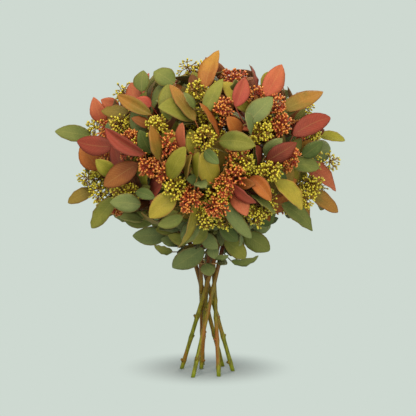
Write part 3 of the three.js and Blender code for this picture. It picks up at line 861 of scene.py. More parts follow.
def guard_blade(leaf):
    """The edges and sheets that stand for a blade while the bunch grows."""
    stations = []
    for s in BLADE_STATIONS:
        middle, across, _, half = blade_station(leaf, s)
        stations.append((along(middle, across, -half), middle, along(middle, across, half)))
    sheets, edges = [], []
    for (low_left, low_middle, low_right), (left, middle, right) in zip(stations, stations[1:]):
        for lift in BLADE_CLEARING:
            a, b, c, d = (
                along(point, leaf["face"], lift) for point in (low_left, low_right, right, left)
            )
            sheets += [(a, b, c), (a, c, d)]
        edges += [(low_left, left), (low_right, right), (low_middle, middle)]
        if left != right:
            edges.append((left, right))
    return {
        "edges": np.array(edges),
        "sheets": np.array(sheets),
        "middle": along(leaf["base"], leaf["direction"], leaf["length"] * 0.5),
        "reach": leaf["length"] * BLADE_REACH,
    }


def leaf_for(draw, base, direction, facing, length, width, roll):
    face = turned(square_to(facing, direction), direction, roll)
    return {
        "base": base,
        "direction": direction,
        "face": face,
        "side": cross(face, direction),
        "length": length,
        "width": width,
        "arch": LEAST_ARCH + MORE_ARCH * draw(),
        "sickle": spread(draw, SICKLE),
        "twist": spread(draw, TWIST),
        "fold": 0,
    }


def cluster_of(stem, hub, rays, colour, fullness=1.0):
    return {"stem": stem, "hub": hub, "rays": rays, "colour": colour, "fullness": fullness}


def hub_directions(outwards, turn):
    """The eight ways that the faces of a bud cluster's hub look; the first looks back."""
    start = unit((1.0, 1.0, 1.0))
    axis = cross(start, outwards)
    lean = math.atan2(math.sqrt(dot(axis, axis)), dot(start, outwards))
    signs = ((1, 1, 1), (1, -1, 1), (1, -1, -1), (1, 1, -1),
             (-1, 1, -1), (-1, -1, -1), (-1, -1, 1), (-1, 1, 1))
    ways = []
    for sign in signs:
        way = turned(unit(tuple(float(s) for s in sign)), unit(axis), lean)
        ways.append(turned(way, outwards, turn))
    return sorted(ways, key=lambda way: round(3 * dot(way, outwards)))


class Bunch:
    """The bunch as paths, blades and clusters: what the frame has, in its order, then the rest."""

    def __init__(self):
        self.guards = Guards()
        self.stems, self.main_places, self.places = [], [], []
        self.twigs, self.leaves, self.clusters = [], [], []
        self.grow_stems()
        self.guard_cord()
        fronts = self.grow_front_twigs(0, FRONT_CLUSTERS, FRONT_SPACING)
        for i, row in enumerate(FRONT_LEAVES):
            self.grow_front_leaf(i, *row)
        for twig in fronts:
            self.finish_twig(twig)
        for j in range(SPRAYS):
            self.grow_spray(j)
        for twig in self.grow_front_twigs(len(FRONT_CLUSTERS), MORE_FRONT_CLUSTERS, MORE_SPACING):
            self.finish_twig(twig)
        for i, row in enumerate(MORE_FRONT_LEAVES, len(FRONT_LEAVES)):
            self.grow_front_leaf(i, *row, depths=BEHIND_DEPTHS, to_eye=2)
        for n, twig in enumerate(self.twigs):
            if not twig["flowers"] and twig["path"][-1][2] > LOW_HEIGHT:
                self.finish_twig({**twig, "flowers": True, "draw": stream(BARE_SEEDS + n)})
        self.tufts = []
        for stem in range(len(self.stems)):
            self.fill_stem(stem)

    def fill_stem(self, stem):
        """Grows the small leaves and tufts that the solids leave out, wherever there is room."""
        draw = stream(FILL_SEEDS + stem)
        places = self.places[stem]
        for n, (point, tangent) in enumerate(places * FILL_ROUNDS):
            if point[2] < FILL_FROM:
                continue
            side = turned(any_square_to(tangent), tangent, TURN * draw())
            aim = unit(along(side, outward(point), between(draw, INNER_AIM)))
            if n < 2 * len(places) or n % TUFT_TURN or point[2] < LOW_HEIGHT:
                size = FIRST_SIZE if n < len(places) else 1.0
                self.grow_inner_leaf(stem, point, side, aim, size, draw)
            else:
                self.grow_tuft(stem, point, aim, draw)

    def grow_inner_leaf(self, stem, point, side, aim, size, draw):
        length = between(draw, INNER_LENGTH) * (LOW_SIZE if point[2] < LOW_HEIGHT else size)
        width = length * between(draw, LEAF_WIDTH_SHARE)
        base = along(point, side, INNER_OFFSET)
        tip = along(base, aim, length)
        leaf = leaf_for(draw, base, aim, outward(point), length, width, spread(draw, ROLL))
        if math.hypot(tip[0], tip[1]) < head_radius(tip[2]):
            self.grow_leaf(stem, leaf, [point, base], INNER_CLEARING, "inner")

    def grow_tuft(self, stem, point, aim, draw):
        tip = along(point, aim, between(draw, TUFT_REACH))
        if math.hypot(tip[0], tip[1]) > head_radius(tip[2]):
            return
        if any(distance(tuft["rays"][0][-1], tip) < TUFT_SPACING for tuft in self.tufts):
            return
        if self.guards.rod_blocked(stem, point, tip, TUFT_ROOM):
            return
        self.guards.add_rods(stem, [(point, tip, TUFT_ROOM)])
        nearest = min(self.clusters, key=lambda cluster: distance(cluster["hub"], tip))
        rays = [(aim, distance(point, tip), tip)]
        self.tufts.append(cluster_of(stem, point, rays, nearest["colour"]))

    def grow_stems(self):
        ends = []
        for k, (degrees, reach) in enumerate(FEET):
            turn = TIE_START + (360 / len(FEET)) * k
            out, height = CROWNS[k % len(CROWNS)]
            held = polar(turn, TIE_CIRCLE, TIE_HEIGHT)
            crown = polar(turn + CROWN_TURN, out, height)
            ends.append((polar(degrees, reach, FOOT_HEIGHT), held, crown))
        ends.append((INNER_FOOT, INNER_TIE, INNER_CROWN))
        for k, (foot, held, crown) in enumerate(ends):
            rise = toward(foot, held)
            leave = along(held, rise, STEM_STRAIGHT)
            low, high = STEM_PULLS
            pull = along(crown, outward(crown), -high)
            upper = curve(leave, along(leave, rise, low), pull, crown, STEM_STEPS)
            path = [foot, *upper]
            radii = [STEM_RADIUS, *taper(len(upper), STEM_RADIUS, STEM_TIP_RADIUS)]
            self.stems.append({"path": path, "radii": radii})
            self.guards.add_rods(k, rods_of(path, radii))
            self.main_places.append(places_on(upper))
            self.places.append(list(self.main_places[-1]))

    def guard_cord(self):
        corner = 360 / CORD_CORNERS
        ring = [polar(corner * i, CORD_CIRCLE, TIE_HEIGHT) for i in range(CORD_CORNERS + 1)]
        self.guards.add_rods(len(self.stems), rods_of(ring, [CORD_RADIUS] * CORD_CORNERS))

    def owner_of(self, point):
        """The stem that passes nearest to a point."""
        nearest = [
            min(distance(place, point) for place, _ in places) for places in self.main_places
        ]
        return nearest.index(min(nearest))

    def grow_leaf(self, stem, leaf, path, clearing, colouring):
        blade = guard_blade(leaf)
        rods = rods_of(path, [STALK_RADIUS * STALK_ROOM] * len(path))
        if self.guards.blocked(stem, blade, rods, clearing):
            return False
        self.guards.add_blade(blade)
        self.guards.add_rods(stem, rods)
        self.leaves.append({**leaf, "stem": stem, "stalk": path, "colouring": colouring})
        return True

    def grow_twig(self, stem, end, draw, spacing):
        """A twig from the best free place, with a cluster if there is room round its end."""
        outwards = outward(end)
        for place in rank_places(self.main_places[stem], end)[TWIG_PLACES]:
            path = stalk_path(place, end, outwards, TWIG_STEP)
            rods = rods_of(path, [TWIG_RADIUS] * len(path))
            if self.guards.blocked(stem, None, rods, 0):
                continue
            self.places[stem] += places_on(path)
            self.guards.add_rods(stem, rods)
            flowers = all(distance(hub, end) >= spacing for hub in self.guards.hubs)
            if flowers:
                self.guards.hubs.append(end)
            twig = {"stem": stem, "path": path, "flowers": flowers, "draw": draw,
                    "colour": None, "fullness": 1.0}
            self.twigs.append(twig)
            return twig
        return None

    def finish_twig(self, twig):
        """Gives a flowering twig the rays of its cluster that have room."""
        if not twig["flowers"]:
            return
        draw, end, stem = twig["draw"], twig["path"][-1], twig["stem"]
        ways = hub_directions(outward(end), HUB_TURN * draw())[1:]
        rays = []
        for way in ways:
            reach = CLUSTER_REACH * between(draw, RAY_SPREAD)
            tip = along(end, way, reach)
            if not self.guards.rod_blocked(stem, end, tip, BUD_RADIUS):
                rays.append((way, reach, tip))
        self.guards.add_rods(stem, [(end, tip, BUD_RADIUS) for _, _, tip in rays])
        colour = twig["colour"] or ("yellow" if draw() < YELLOW_SHARE else "orange")
        self.clusters.append(cluster_of(stem, end, rays, colour, twig["fullness"]))

    def grow_front_twigs(self, first, rows, spacing):
        """The twigs of front clusters, coloured and counted as their rows say."""
        twigs = []
        for i, (x, height, colour, *thin) in enumerate(rows, first):
            end = sighted(x, height, CLUSTER_DEPTH)
            twig = self.grow_twig(self.owner_of(end), end, stream(CLUSTER_SEEDS + i), spacing)
            if twig:
                twig["colour"], twig["fullness"] = colour, thin[0] if thin else 1.0
                twigs.append(twig)
        return twigs

    def grow_front_leaf(
        self, i, x0, h0, x1, h1, seen, colouring, fold=0, depths=FRONT_DEPTHS, to_eye=1
    ):
        """A front leaf goes at the first depth and on the first stalk that leave it room."""
        draw = stream(LEAF_SEEDS + i)
        edge_on = seen < EDGE_ON_SEEN
        width = EDGE_ON_WIDTH if edge_on else seen
        if edge_on:
            roll = -EDGE_ON_ROLL if draw() < 0.5 else EDGE_ON_ROLL
        else:
            roll = spread(draw, FRONT_ROLL)
        for depth in depths:
            base = sighted(x0, h0, depth)
            tip = sighted(x1, h1, depth - FRONT_RISE)
            limit = STEEPEST * math.hypot(x1 - x0, h1 - h0)
            tip = (tip[0], min(max(tip[1], base[1] - limit), base[1] + limit), tip[2])
            direction = toward(base, tip)
            facing = along(outward(base), toward(base, EYE), to_eye)
            leaf = leaf_for(draw, base, direction, facing, distance(base, tip), width, roll)
            leaf["fold"] = fold
            stem = self.owner_of(base)
            for place in rank_places(self.places[stem], base)[FRONT_PLACES]:
                path = stalk_path(place, base, direction, STALK_STEP)
                if self.grow_leaf(stem, leaf, path, FRONT_CLEARING, colouring):
                    return

    def grow_spray(self, j):
        draw = stream(SPRAY_SEEDS * j)
        surface = surface_point((j + 0.5) / SPRAYS, GOLDEN_TURN * j + spread(draw, SPRAY_STRAY))
        radius = math.hypot(surface[0], surface[1])
        depth = min(SPRAY_DEPTH, radius * THIN_SHARE + THIN_DEPTH)
        end = along(surface, outward(surface), -depth)
        low = surface[2] < LOW_HEIGHT
        spacing = NO_CLUSTER if low else CLUSTER_SPACING
        twig = self.grow_twig(self.owner_of(end), end, draw, spacing)
        if not twig:
            return
        for k in range(LEAVES_PER_SPRAY):
            leaf_draw = stream(SPRAY_SEEDS * j + FIRST_LEAF_SEED + k)
            back = LEAF_PITCH * (k + FIRST_LEAF[1 if low else 0])
            for _ in range(LEAF_TRIES):
                if self.grow_spray_leaf(twig, surface, back, low, leaf_draw):
                    break
        self.finish_twig(twig)

    def grow_spray_leaf(self, twig, surface, back, low, draw):
        out = outward(surface)
        node = point_back(twig["path"], back + spread(draw, LEAF_STRAY))
        up = square_to((0.0, 0.0, 1.0), out)
        sideways = cross(up, out)
        turn = TURN * draw()
        bias = min(1, max(-1, (surface[2] - LEVEL_HEIGHT) / BIAS_OVER))
        rise = tuple(v * (math.sin(turn) + LEAF_BIAS * bias) for v in up)
        tangent = unit(along(rise, sideways, math.cos(turn)))
        direction = unit(along(tangent, out, between(draw, LEAF_LIFT)))
        length = between(draw, LOW_LEAF_LENGTH if low else LEAF_LENGTH)
        width = length * between(draw, LEAF_WIDTH_SHARE)
        base = along(along(node, tangent, between(draw, LEAF_OFFSET)), out, LEAF_RISE)
        tip = along(base, direction, length)
        if math.hypot(tip[0], tip[1]) > head_radius(tip[2]) + LEAF_OVERHANG:
            return False
        leaf = leaf_for(draw, base, direction, out, length, width, spread(draw, ROLL))
        return self.grow_leaf(twig["stem"], leaf, [node, base], CLUSTER_CLEARING, None)


@functools.cache
def bunch():
    """The bunch, grown once."""
    return Bunch()


# ---- Meshes ----


def metres(point):
    """A point of the growth rule in the frame's metres."""
    return Vector([(p + b) * MM for p, b in zip(point, BUNCH)]) + Vector((0, 0, GROUND))


def carried_frames(points):
    """A sideways and a depth direction at each point, carried back from the end untwisted."""
    last = len(points) - 1
    frames = [None] * len(points)
    sideways = Vector(any_square_to(toward(points[last - 1], points[last])))
    for i in range(last, -1, -1):
        tangent = Vector(toward(points[max(i - 1, 0)], points[min(i + 1, last)]))
        sideways = (sideways - tangent * sideways.dot(tangent)).normalized()
        frames[i] = (sideways.copy(), tangent.cross(sideways))
    return frames


def edges_at(ring):
    """The edges at a ring of vertices, each once and in the same order on every run."""
    return list(dict.fromkeys(e for v in ring for e in v.link_edges))


def sweep(bm, points, radii, sides, level_foot=False):
    """A closed round skin along a path: a circle extruded from point to point.

    Returns the rings of vertices, first to last.
    """
    frames = carried_frames(points)
    ring = bmesh.ops.create_circle(bm, cap_ends=True, segments=sides, radius=1.0)["verts"]
    angles = [math.atan2(v.co.y, v.co.x) for v in ring]
    edges = edges_at(ring)
    rings = [ring]
    for i, point in enumerate(points):
        if i:
            made = bmesh.ops.extrude_edge_only(bm, edges=edges)["geom"]
            fresh = {g for g in made if isinstance(g, bmesh.types.BMVert)}
            ring = [
                next(e.other_vert(v) for e in v.link_edges if e.other_vert(v) in fresh)
                for v in rings[-1]
            ]
            edges = [e for e in edges_at(ring) if all(v in fresh for v in e.verts)]
            rings.append(ring)
        centre = metres(point)
        sideways, depth = frames[i]
        for v, angle in zip(ring, angles):
            reach = radii[i] * MM
            v.co = centre + sideways * (math.cos(angle) * reach) + depth * (math.sin(angle) * reach)
    if level_foot:
        rise = Vector(toward(points[0], points[1]))
        for v in rings[0]:
            v.co -= rise * ((v.co.z - GROUND) / rise.z)
    bmesh.ops.edgeloop_fill(bm, edges=edges)
    return rings


def smooth_path(points, per_length):
    """A rounded path through the points of a coarse one."""
    fine = []
    for i in range(len(points) - 1):
        p0, p1 = points[max(i - 1, 0)], points[i]
        p2, p3 = points[i + 1], points[min(i + 2, len(points) - 1)]
        count = max(1, round(distance(p1, p2) / per_length))
        for n in range(count):
            t = n / count
            fine.append(
                tuple(
                    0.5 * (2 * b + (c - a) * t + (2 * a - 5 * b + 4 * c - d) * t * t
                           + (3 * b - a - 3 * c + d) * t * t * t)
                    for a, b, c, d in zip(p0, p1, p2, p3)
                )
            )
    return [*fine, points[-1]]


def absorb(bm, part):
    """Moves one mesh into another that has the same layers."""
    mesh = bpy.data.meshes.new("part")
    part.to_mesh(mesh)
    part.free()
    bm.from_mesh(mesh)
    bpy.data.meshes.remove(mesh)


def stood(centre, way):
    """A matrix that stands a shape at a centre with its z axis along a direction."""
    return Matrix.Translation(centre) @ Vector(way).to_track_quat("Z", "Y").to_matrix().to_4x4()


def finish_piece(name, bm, material, node):
    """Turns a mesh into the named piece that stands for a node of the frame."""
    bmesh.ops.recalc_face_normals(bm, faces=bm.faces)
    mesh = bpy.data.meshes.new(name)
    for face in bm.faces:
        face.smooth = True
    bm.to_mesh(mesh)
    bm.free()
    mesh.materials.append(material)
    piece = bpy.data.objects.new(name, mesh)
    bpy.context.scene.collection.objects.link(piece)
    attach(piece, "root")
    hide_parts(node)
    return piece


# ---- Materials ----

SMOOTHSTEP = {"interpolation_type": "SMOOTHSTEP"}
COLOURS = {"data_type": "RGBA"}
SHARE, UNDER, OVER = 0, 6, 7  # the inputs of a mix of colours
TINTS = ("base_tint", "tip_tint", "rim_tint")


def linear(code):
    """An sRGB hex colour as linear RGBA."""
    parts = [int(code[i : i + 2], 16) / 255 for i in (1, 3, 5)]
    return (*(p / 12.92 if p <= 0.04045 else ((p + 0.055) / 1.055) ** 2.4 for p in parts), 1.0)


def add_node(tree, kind, settings=None, inputs=None, output=None):
    """Adds a node with its inputs set or linked, and returns one of its outputs.

    That is the output asked for, or else the first that the node's settings leave in use.
    """
    made = tree.nodes.new("ShaderNode" + kind)
    for name, value in (settings or {}).items():
        setattr(made, name, value)
    for name, value in (inputs or {}).items():
        if isinstance(value, bpy.types.NodeSocket):
            tree.links.new(value, made.inputs[name])
        else:
            made.inputs[name].default_value = value
    if output:
        return made.outputs[output]
    return next(socket for socket in made.outputs if not socket.is_unavailable)


def new_material(name, roughness, **constants):
    """A material with its one shader; returns it with its tree and the shader."""
    material = bpy.data.materials.new(name)
    material.use_nodes = True
    tree = material.node_tree
    shader = tree.nodes["Principled BSDF"]
    shader.inputs["Roughness"].default_value = roughness
    for name, value in constants.items():
        shader.inputs[name.replace("_", " ")].default_value = value
    return material, tree, shader


def dried_leaf():
    """Dried eucalyptus leaf, pressed soft by glycerine.

    A thin waxy bloom keeps it matt. The midrib and the fine slanted veins show paler, the rim
    darker and redder, and the underside is greyer than the face.
    """
    material, tree, shader = new_material("dried_leaf", 0.62, Specular_IOR_Level=0.22)
    low, high, rim = (
        add_node(tree, "Attribute", {"attribute_name": name}, output="Color") for name in TINTS
    )
    blade = add_node(tree, "Attribute", {"attribute_name": "blade"}, output="Vector")
    side, length, underside = add_node(tree, "SeparateXYZ", None, {0: blade}).node.outputs
    across = add_node(tree, "Math", {"operation": "ABSOLUTE"}, {0: side})
    spots = add_node(tree, "TexCoord", output="Object")
    # blotches about 14 mm across, and a grain of about 1.5 mm
    blotch, grain = (
        add_node(tree, "TexNoise", None, {"Vector": spots, "Scale": scale, "Detail": detail})
        for scale, detail in ((70.0, 2.0), (650.0, 1.0))
    )
    # the base colour gives way to the tip colour along the blade, blurred by the blotches
    blur = add_node(tree, "Math", {"operation": "MULTIPLY_ADD"}, {0: blotch, 1: 0.9, 2: -0.45})
    reach = add_node(tree, "Math", {"operation": "ADD"}, {0: length, 1: blur})
    # the side veins leave the midrib about 5 mm apart and slant toward the tip
    slant = add_node(tree, "Math", {"operation": "MULTIPLY_ADD"}, {0: across, 1: -3.2, 2: blotch})
    rank = add_node(tree, "Math", {"operation": "MULTIPLY_ADD"}, {0: length, 1: 13.0, 2: slant})
    ridge = add_node(tree, "Math", {"operation": "PINGPONG"}, {0: rank, 1: 0.5})
    grade, vein, midrib, edge = (
        add_node(
            tree, "MapRange", SMOOTHSTEP,
            {"Value": value, "From Min": start, "From Max": end, "To Min": first, "To Max": last},
        )
        for value, start, end, first, last in (
            (reach, 0.1, 0.8, 0.0, 1.0),
            (ridge, 0.0, 0.14, 1.0, 0.0),
            (across, 0.01, 0.06, 0.14, 0.0),
            (across, 0.84, 1.0, 0.0, 0.7),
        )
    )
    faint, bloom = (
        add_node(tree, "Math", {"operation": "MULTIPLY"}, {0: value, 1: strength})
        for value, strength in ((vein, 0.09), (underside, 0.28))
    )
    veins = add_node(tree, "Math", {"operation": "MAXIMUM"}, {0: faint, 1: midrib})
    tone = low
    for share, over in (
        (grade, high), (veins, linear("#b8a560")), (edge, rim), (bloom, linear("#8f9272")),
    ):
        tone = add_node(tree, "Mix", COLOURS, {SHARE: share, UNDER: tone, OVER: over})
    shade = add_node(
        tree, "MapRange", None,
        {"Value": grain, "From Min": 0.3, "From Max": 0.7, "To Min": 0.88, "To Max": 1.08},
    )
    grained = add_node(
        tree, "Mix", {**COLOURS, "blend_type": "MULTIPLY"}, {SHARE: 1.0, UNDER: tone, OVER: shade}
    )
    tree.links.new(grained, shader.inputs["Base Color"])
    relief = add_node(tree, "Math", {"operation": "MULTIPLY_ADD"}, {0: grain, 1: 0.5, 2: vein})
    bump = add_node(tree, "Bump", None, {"Height": relief, "Strength": 0.22, "Distance": 0.0004})
    tree.links.new(bump, shader.inputs["Normal"])
    return material


def young_bark():
    """Young eucalyptus bark: smooth and green, flushed orange and red where light reached it."""
    material, tree, shader = new_material("young_bark", 0.45, Specular_IOR_Level=0.28)
    age = add_node(tree, "Attribute", {"attribute_name": "age"}, output="Fac")
    spots = add_node(tree, "TexCoord", output="Object")
    drawn = add_node(tree, "Mapping", None, {"Vector": spots, "Scale": (1.0, 1.0, 0.12)})
    # flushes some 140 mm long, and streaks of 2 by 16 mm
    flush, streak = (
        add_node(tree, "TexNoise", None, {"Vector": drawn, "Scale": scale, "Detail": 2.0})
        for scale in (60.0, 520.0)
    )
    height = add_node(tree, "SeparateXYZ", None, {0: spots}, "Z")
    # the last 14 mm are a fresher green
    contrast, warm, cut = (
        add_node(
            tree, "MapRange", SMOOTHSTEP,
            {"Value": value, "From Min": start, "From Max": end, "To Min": first, "To Max": last},
        )
        for value, start, end, first, last in (
            (streak, 0.35, 0.65, 0.0, 1.0),
            (flush, 0.46, 0.7, 0.0, 0.8),
            (height, 0.002, 0.014, 0.45, 0.0),
        )
    )
    tone = linear("#565a06")
    for share, over in (
        (contrast, "#7c7c10"), (warm, "#8c4a1c"), (cut, "#8a9c24"), (age, "#6e3018"),
    ):
        tone = add_node(tree, "Mix", COLOURS, {SHARE: share, UNDER: tone, OVER: linear(over)})
    tree.links.new(tone, shader.inputs["Base Color"])
    bump = add_node(tree, "Bump", None, {"Height": streak, "Strength": 0.35, "Distance": 0.0005})
    tree.links.new(bump, shader.inputs["Normal"])
    return material


def ripe_buds(name, stalk, shoulder, cap):
    """Dried eucalyptus buds: a satin skin, from the stalk's colour to the paler cap."""
    material, tree, shader = new_material(name, 0.42)
    ripe, tint = (
        add_node(tree, "Attribute", {"attribute_name": layer}, output="Fac")
        for layer in ("ripe", "tint")
    )
    tone = linear(stalk)
    for start, end, over in ((0.1, 0.5, shoulder), (0.5, 0.9, cap)):
        share = add_node(
            tree, "MapRange", SMOOTHSTEP, {"Value": ripe, "From Min": start, "From Max": end}
        )
        tone = add_node(tree, "Mix", COLOURS, {SHARE: share, UNDER: tone, OVER: linear(over)})
    shade = add_node(tree, "MapRange", None, {"Value": tint, "To Min": 0.72, "To Max": 1.12})
    shaded = add_node(
        tree, "Mix", {**COLOURS, "blend_type": "MULTIPLY"}, {SHARE: 1.0, UNDER: tone, OVER: shade}
    )
    tree.links.new(shaded, shader.inputs["Base Color"])
    return material


def jute_twine():
    """Jute twine: dull twisted fibre, with hairs too fine to show."""
    material, tree, shader = new_material("jute_twine", 0.9)
    spots = add_node(tree, "TexCoord", output="Object")
    # fibres about 0.5 mm apart, drawn at 1 mm so that they show
    fibre = add_node(tree, "TexNoise", None, {"Vector": spots, "Scale": 1000.0, "Detail": 2.0})
    tone = add_node(
        tree, "Mix", COLOURS, {SHARE: fibre, UNDER: linear("#6e4f2a"), OVER: linear("#b08c58")}
    )
    tree.links.new(tone, shader.inputs["Base Color"])
    bump = add_node(tree, "Bump", None, {"Height": fibre, "Strength": 0.5, "Distance": 0.0005})
    tree.links.new(bump, shader.inputs["Normal"])
    return material


def floor_with_painted_shadow(backdrop):
    """Matt board, darker round the feet and fading from there into the even glow of the backdrop's
    colour: the dark patch is a painted shadow, partly real, as the board there also takes the bunch's
    real shade.
    """
    material, tree, shader = new_material("floor_with_painted_shadow", 0.9, Specular_IOR_Level=0.0)
    # a board darker than the backdrop, so that it shows as a painted shadow where it is not faded out
    shader.inputs["Base Color"].default_value = linear("#949da2")
    spots = add_node(tree, "TexCoord", output="Object")
    # the painted shadow lies round the feet and is a little wider than deep; inside it the board also
    # takes the bunch's real shade
    shaded = add_node(
        tree, "Mapping", {"vector_type": "TEXTURE"},
        {"Vector": spots, "Location": (0.009, 0.022, 0.0), "Scale": (1.0, 0.78, 1.0)},
    )
    reach = add_node(tree, "VectorMath", {"operation": "LENGTH"}, {0: shaded})
    # inside this reach the darker board shows, a painted shadow; beyond it the floor glows evenly in the
    # backdrop's colour
    painted_shadow_fade = add_node(
        tree, "MapRange", SMOOTHSTEP, {"Value": reach, "From Min": 0.035, "From Max": 0.145}
    )
    glow = add_node(tree, "Emission", None, {"Color": backdrop, "Strength": 1.0})
    board = add_node(tree, "MixShader", None, {0: painted_shadow_fade, 1: shader.outputs[0], 2: glow})
    tree.links.new(board, tree.nodes["Material Output"].inputs["Surface"])
    return material


# ---- Settings ----


class StemSettings(bpy.types.PropertyGroup):
    node_pitch: bpy.props.FloatProperty(
        name="Node pitch", description="Distance between the leaf scars of a stem",
        default=0.034, min=0.01, unit="LENGTH",
    )
    scar: bpy.props.FloatProperty(
        name="Scar", description="How far a leaf scar stands out from the bark",
        default=0.0036, min=0.0, unit="LENGTH",
    )
    swelling: bpy.props.FloatProperty(
        name="Swelling", description="How much thicker a stem is at a scar",
        default=0.26, subtype="FACTOR",
    )


class LeafSettings(bpy.types.PropertyGroup):
    thickness: bpy.props.FloatProperty(
        name="Thickness", description="Thickness of a blade", default=0.0006, min=0.0001, unit="LENGTH",
    )
    fold: bpy.props.FloatProperty(
        name="Fold", description="Angle by which the halves of a blade rise from the midrib",
        default=math.radians(13), unit="ROTATION",
    )
    wave: bpy.props.FloatProperty(
        name="Wave", description="How far the rim of a blade waves", default=0.0011, unit="LENGTH",
    )


class BudSettings(bpy.types.PropertyGroup):
    length: bpy.props.FloatProperty(
        name="Length", description="Length of a bud without its stalk",
        default=0.0046, min=0.001, unit="LENGTH",
    )
    width: bpy.props.FloatProperty(
        name="Width", description="Width of a bud", default=0.0031, min=0.001, unit="LENGTH",
    )
    stalk: bpy.props.FloatProperty(
        name="Stalk", description="Length of a bud's own stalk", default=0.006, min=0.001, unit="LENGTH",
    )
    per_ray: bpy.props.IntProperty(
        name="Buds per branch", description="Buds on each branch of a cluster", default=11, min=1,
    )


class StageSettings(bpy.types.PropertyGroup):
    backdrop: bpy.props.FloatVectorProperty(
        name="Backdrop", description="Colour of the floor and of the light round it",
        subtype="COLOR", default=linear("#ced9d1")[:3],
    )
    key_power: bpy.props.FloatProperty(
        name="Key light", description="Power of the large soft light",
        default=50.0, min=0.0, unit="POWER",
    )


# ---- Operators ----


class EUCALYPTUS_OT_stems(bpy.types.Operator):
    """Grows the bark of the seven stems and of all their twigs"""

    bl_idname = "eucalyptus.stems"
    bl_label = "Stems and Twigs"

    def execute(self, context):
        settings = context.scene.eucalyptus_stems
        material = young_bark()
        for k, stem in enumerate(bunch().stems):
            bm = bmesh.new()
            age = bm.verts.layers.float.new("age")
            self.add_stem(bm, age, stem, k, settings)
            for twig in bunch().twigs:
                if twig["stem"] == k:
                    self.add_twig(bm, age, twig)
            finish_piece(f"bark_{k + 1}", bm, material, f"leafy_stem_{k + 1}")
        return {"FINISHED"}

    def add_twig(self, bm, age, twig):
        path = smooth_path(twig["path"], BARK_STEP)
        rings = sweep(bm, path, taper(len(path), TWIG_RADIUS, STALK_RADIUS), THIN_SIDES)
        for ring, share in zip(rings, taper(len(path), *TWIG_AGE)):
            for v in ring:
                v[age] = share

    def add_stem(self, bm, age, stem, k, settings):
        """One stem, a little thicker at each leaf scar, with the scars on alternate sides."""
        draw = stream(BARK_SEEDS + k)
        coarse, foot = stem["path"], stem["path"][0]
        straight = [between_points(foot, coarse[1], n / FOOT_RINGS) for n in range(FOOT_RINGS)]
        path = straight + smooth_path(coarse[1:], BARK_STEP)
        lengths, stops = lengths_along(path), lengths_along(coarse)
        waist = stops[1] - STEM_STRAIGHT
        pitch = settings.node_pitch / MM
        scars = []
        at = pitch * between(draw, FIRST_SCAR)
        while at < lengths[-1] - SCARLESS_TOP:
            scars.append(at)
            at += pitch * between(draw, NEXT_SCAR)
        radii = []
        for length in lengths:
            radius = float(np.interp(length, stops, stem["radii"]))
            near = min(abs(length - scar) for scar in scars)
            free = min(1.0, abs(length - waist) / SCARLESS_WAIST)
            bulge = settings.swelling * free * math.exp(-((near / SWELLING_REACH) ** 2))
            radii.append(radius * (1 + bulge))
        rings = sweep(bm, path, radii, STEM_SIDES, level_foot=True)
        for ring, length in zip(rings, lengths):
            for v in ring:
                v[age] = min(1.0, max(0.0, (length - AGE_FROM) / AGE_OVER))
        frames = carried_frames(path)
        side = between(draw, ANY_ANGLE)
        for scar in scars:
            side += math.pi + spread(draw, SCAR_STRAY)
            i = min(range(len(lengths)), key=lambda n: abs(lengths[n] - scar))
            if abs(lengths[i] - waist) >= SCARLESS_WAIST and i:
                self.add_scar(bm, age, path, i, radii[i], frames[i], side, settings.scar)

    def add_scar(self, bm, age, path, i, radius, frame, side, reach):
        """A blunt knob that leans up from the bark at one place of a path."""
        sideways, depth = frame
        out = sideways * math.cos(side) + depth * math.sin(side)
        rise = Vector(toward(path[i - 1], path[min(i + 1, len(path) - 1)]))
        lean = (out + rise * SCAR_RISE).normalized()
        centre = metres(path[i]) + out * radius * SCAR_INSET * MM + lean * reach * 0.5
        knob = bmesh.ops.create_cone(
            bm, cap_ends=True, segments=SCAR_SIDES, radius1=SCAR_FOOT * MM, radius2=SCAR_TOP * MM,
            depth=reach + SCAR_ROOT * MM, matrix=stood(centre, lean),
        )["verts"]
        for v in knob:
            v[age] = SCAR_AGE


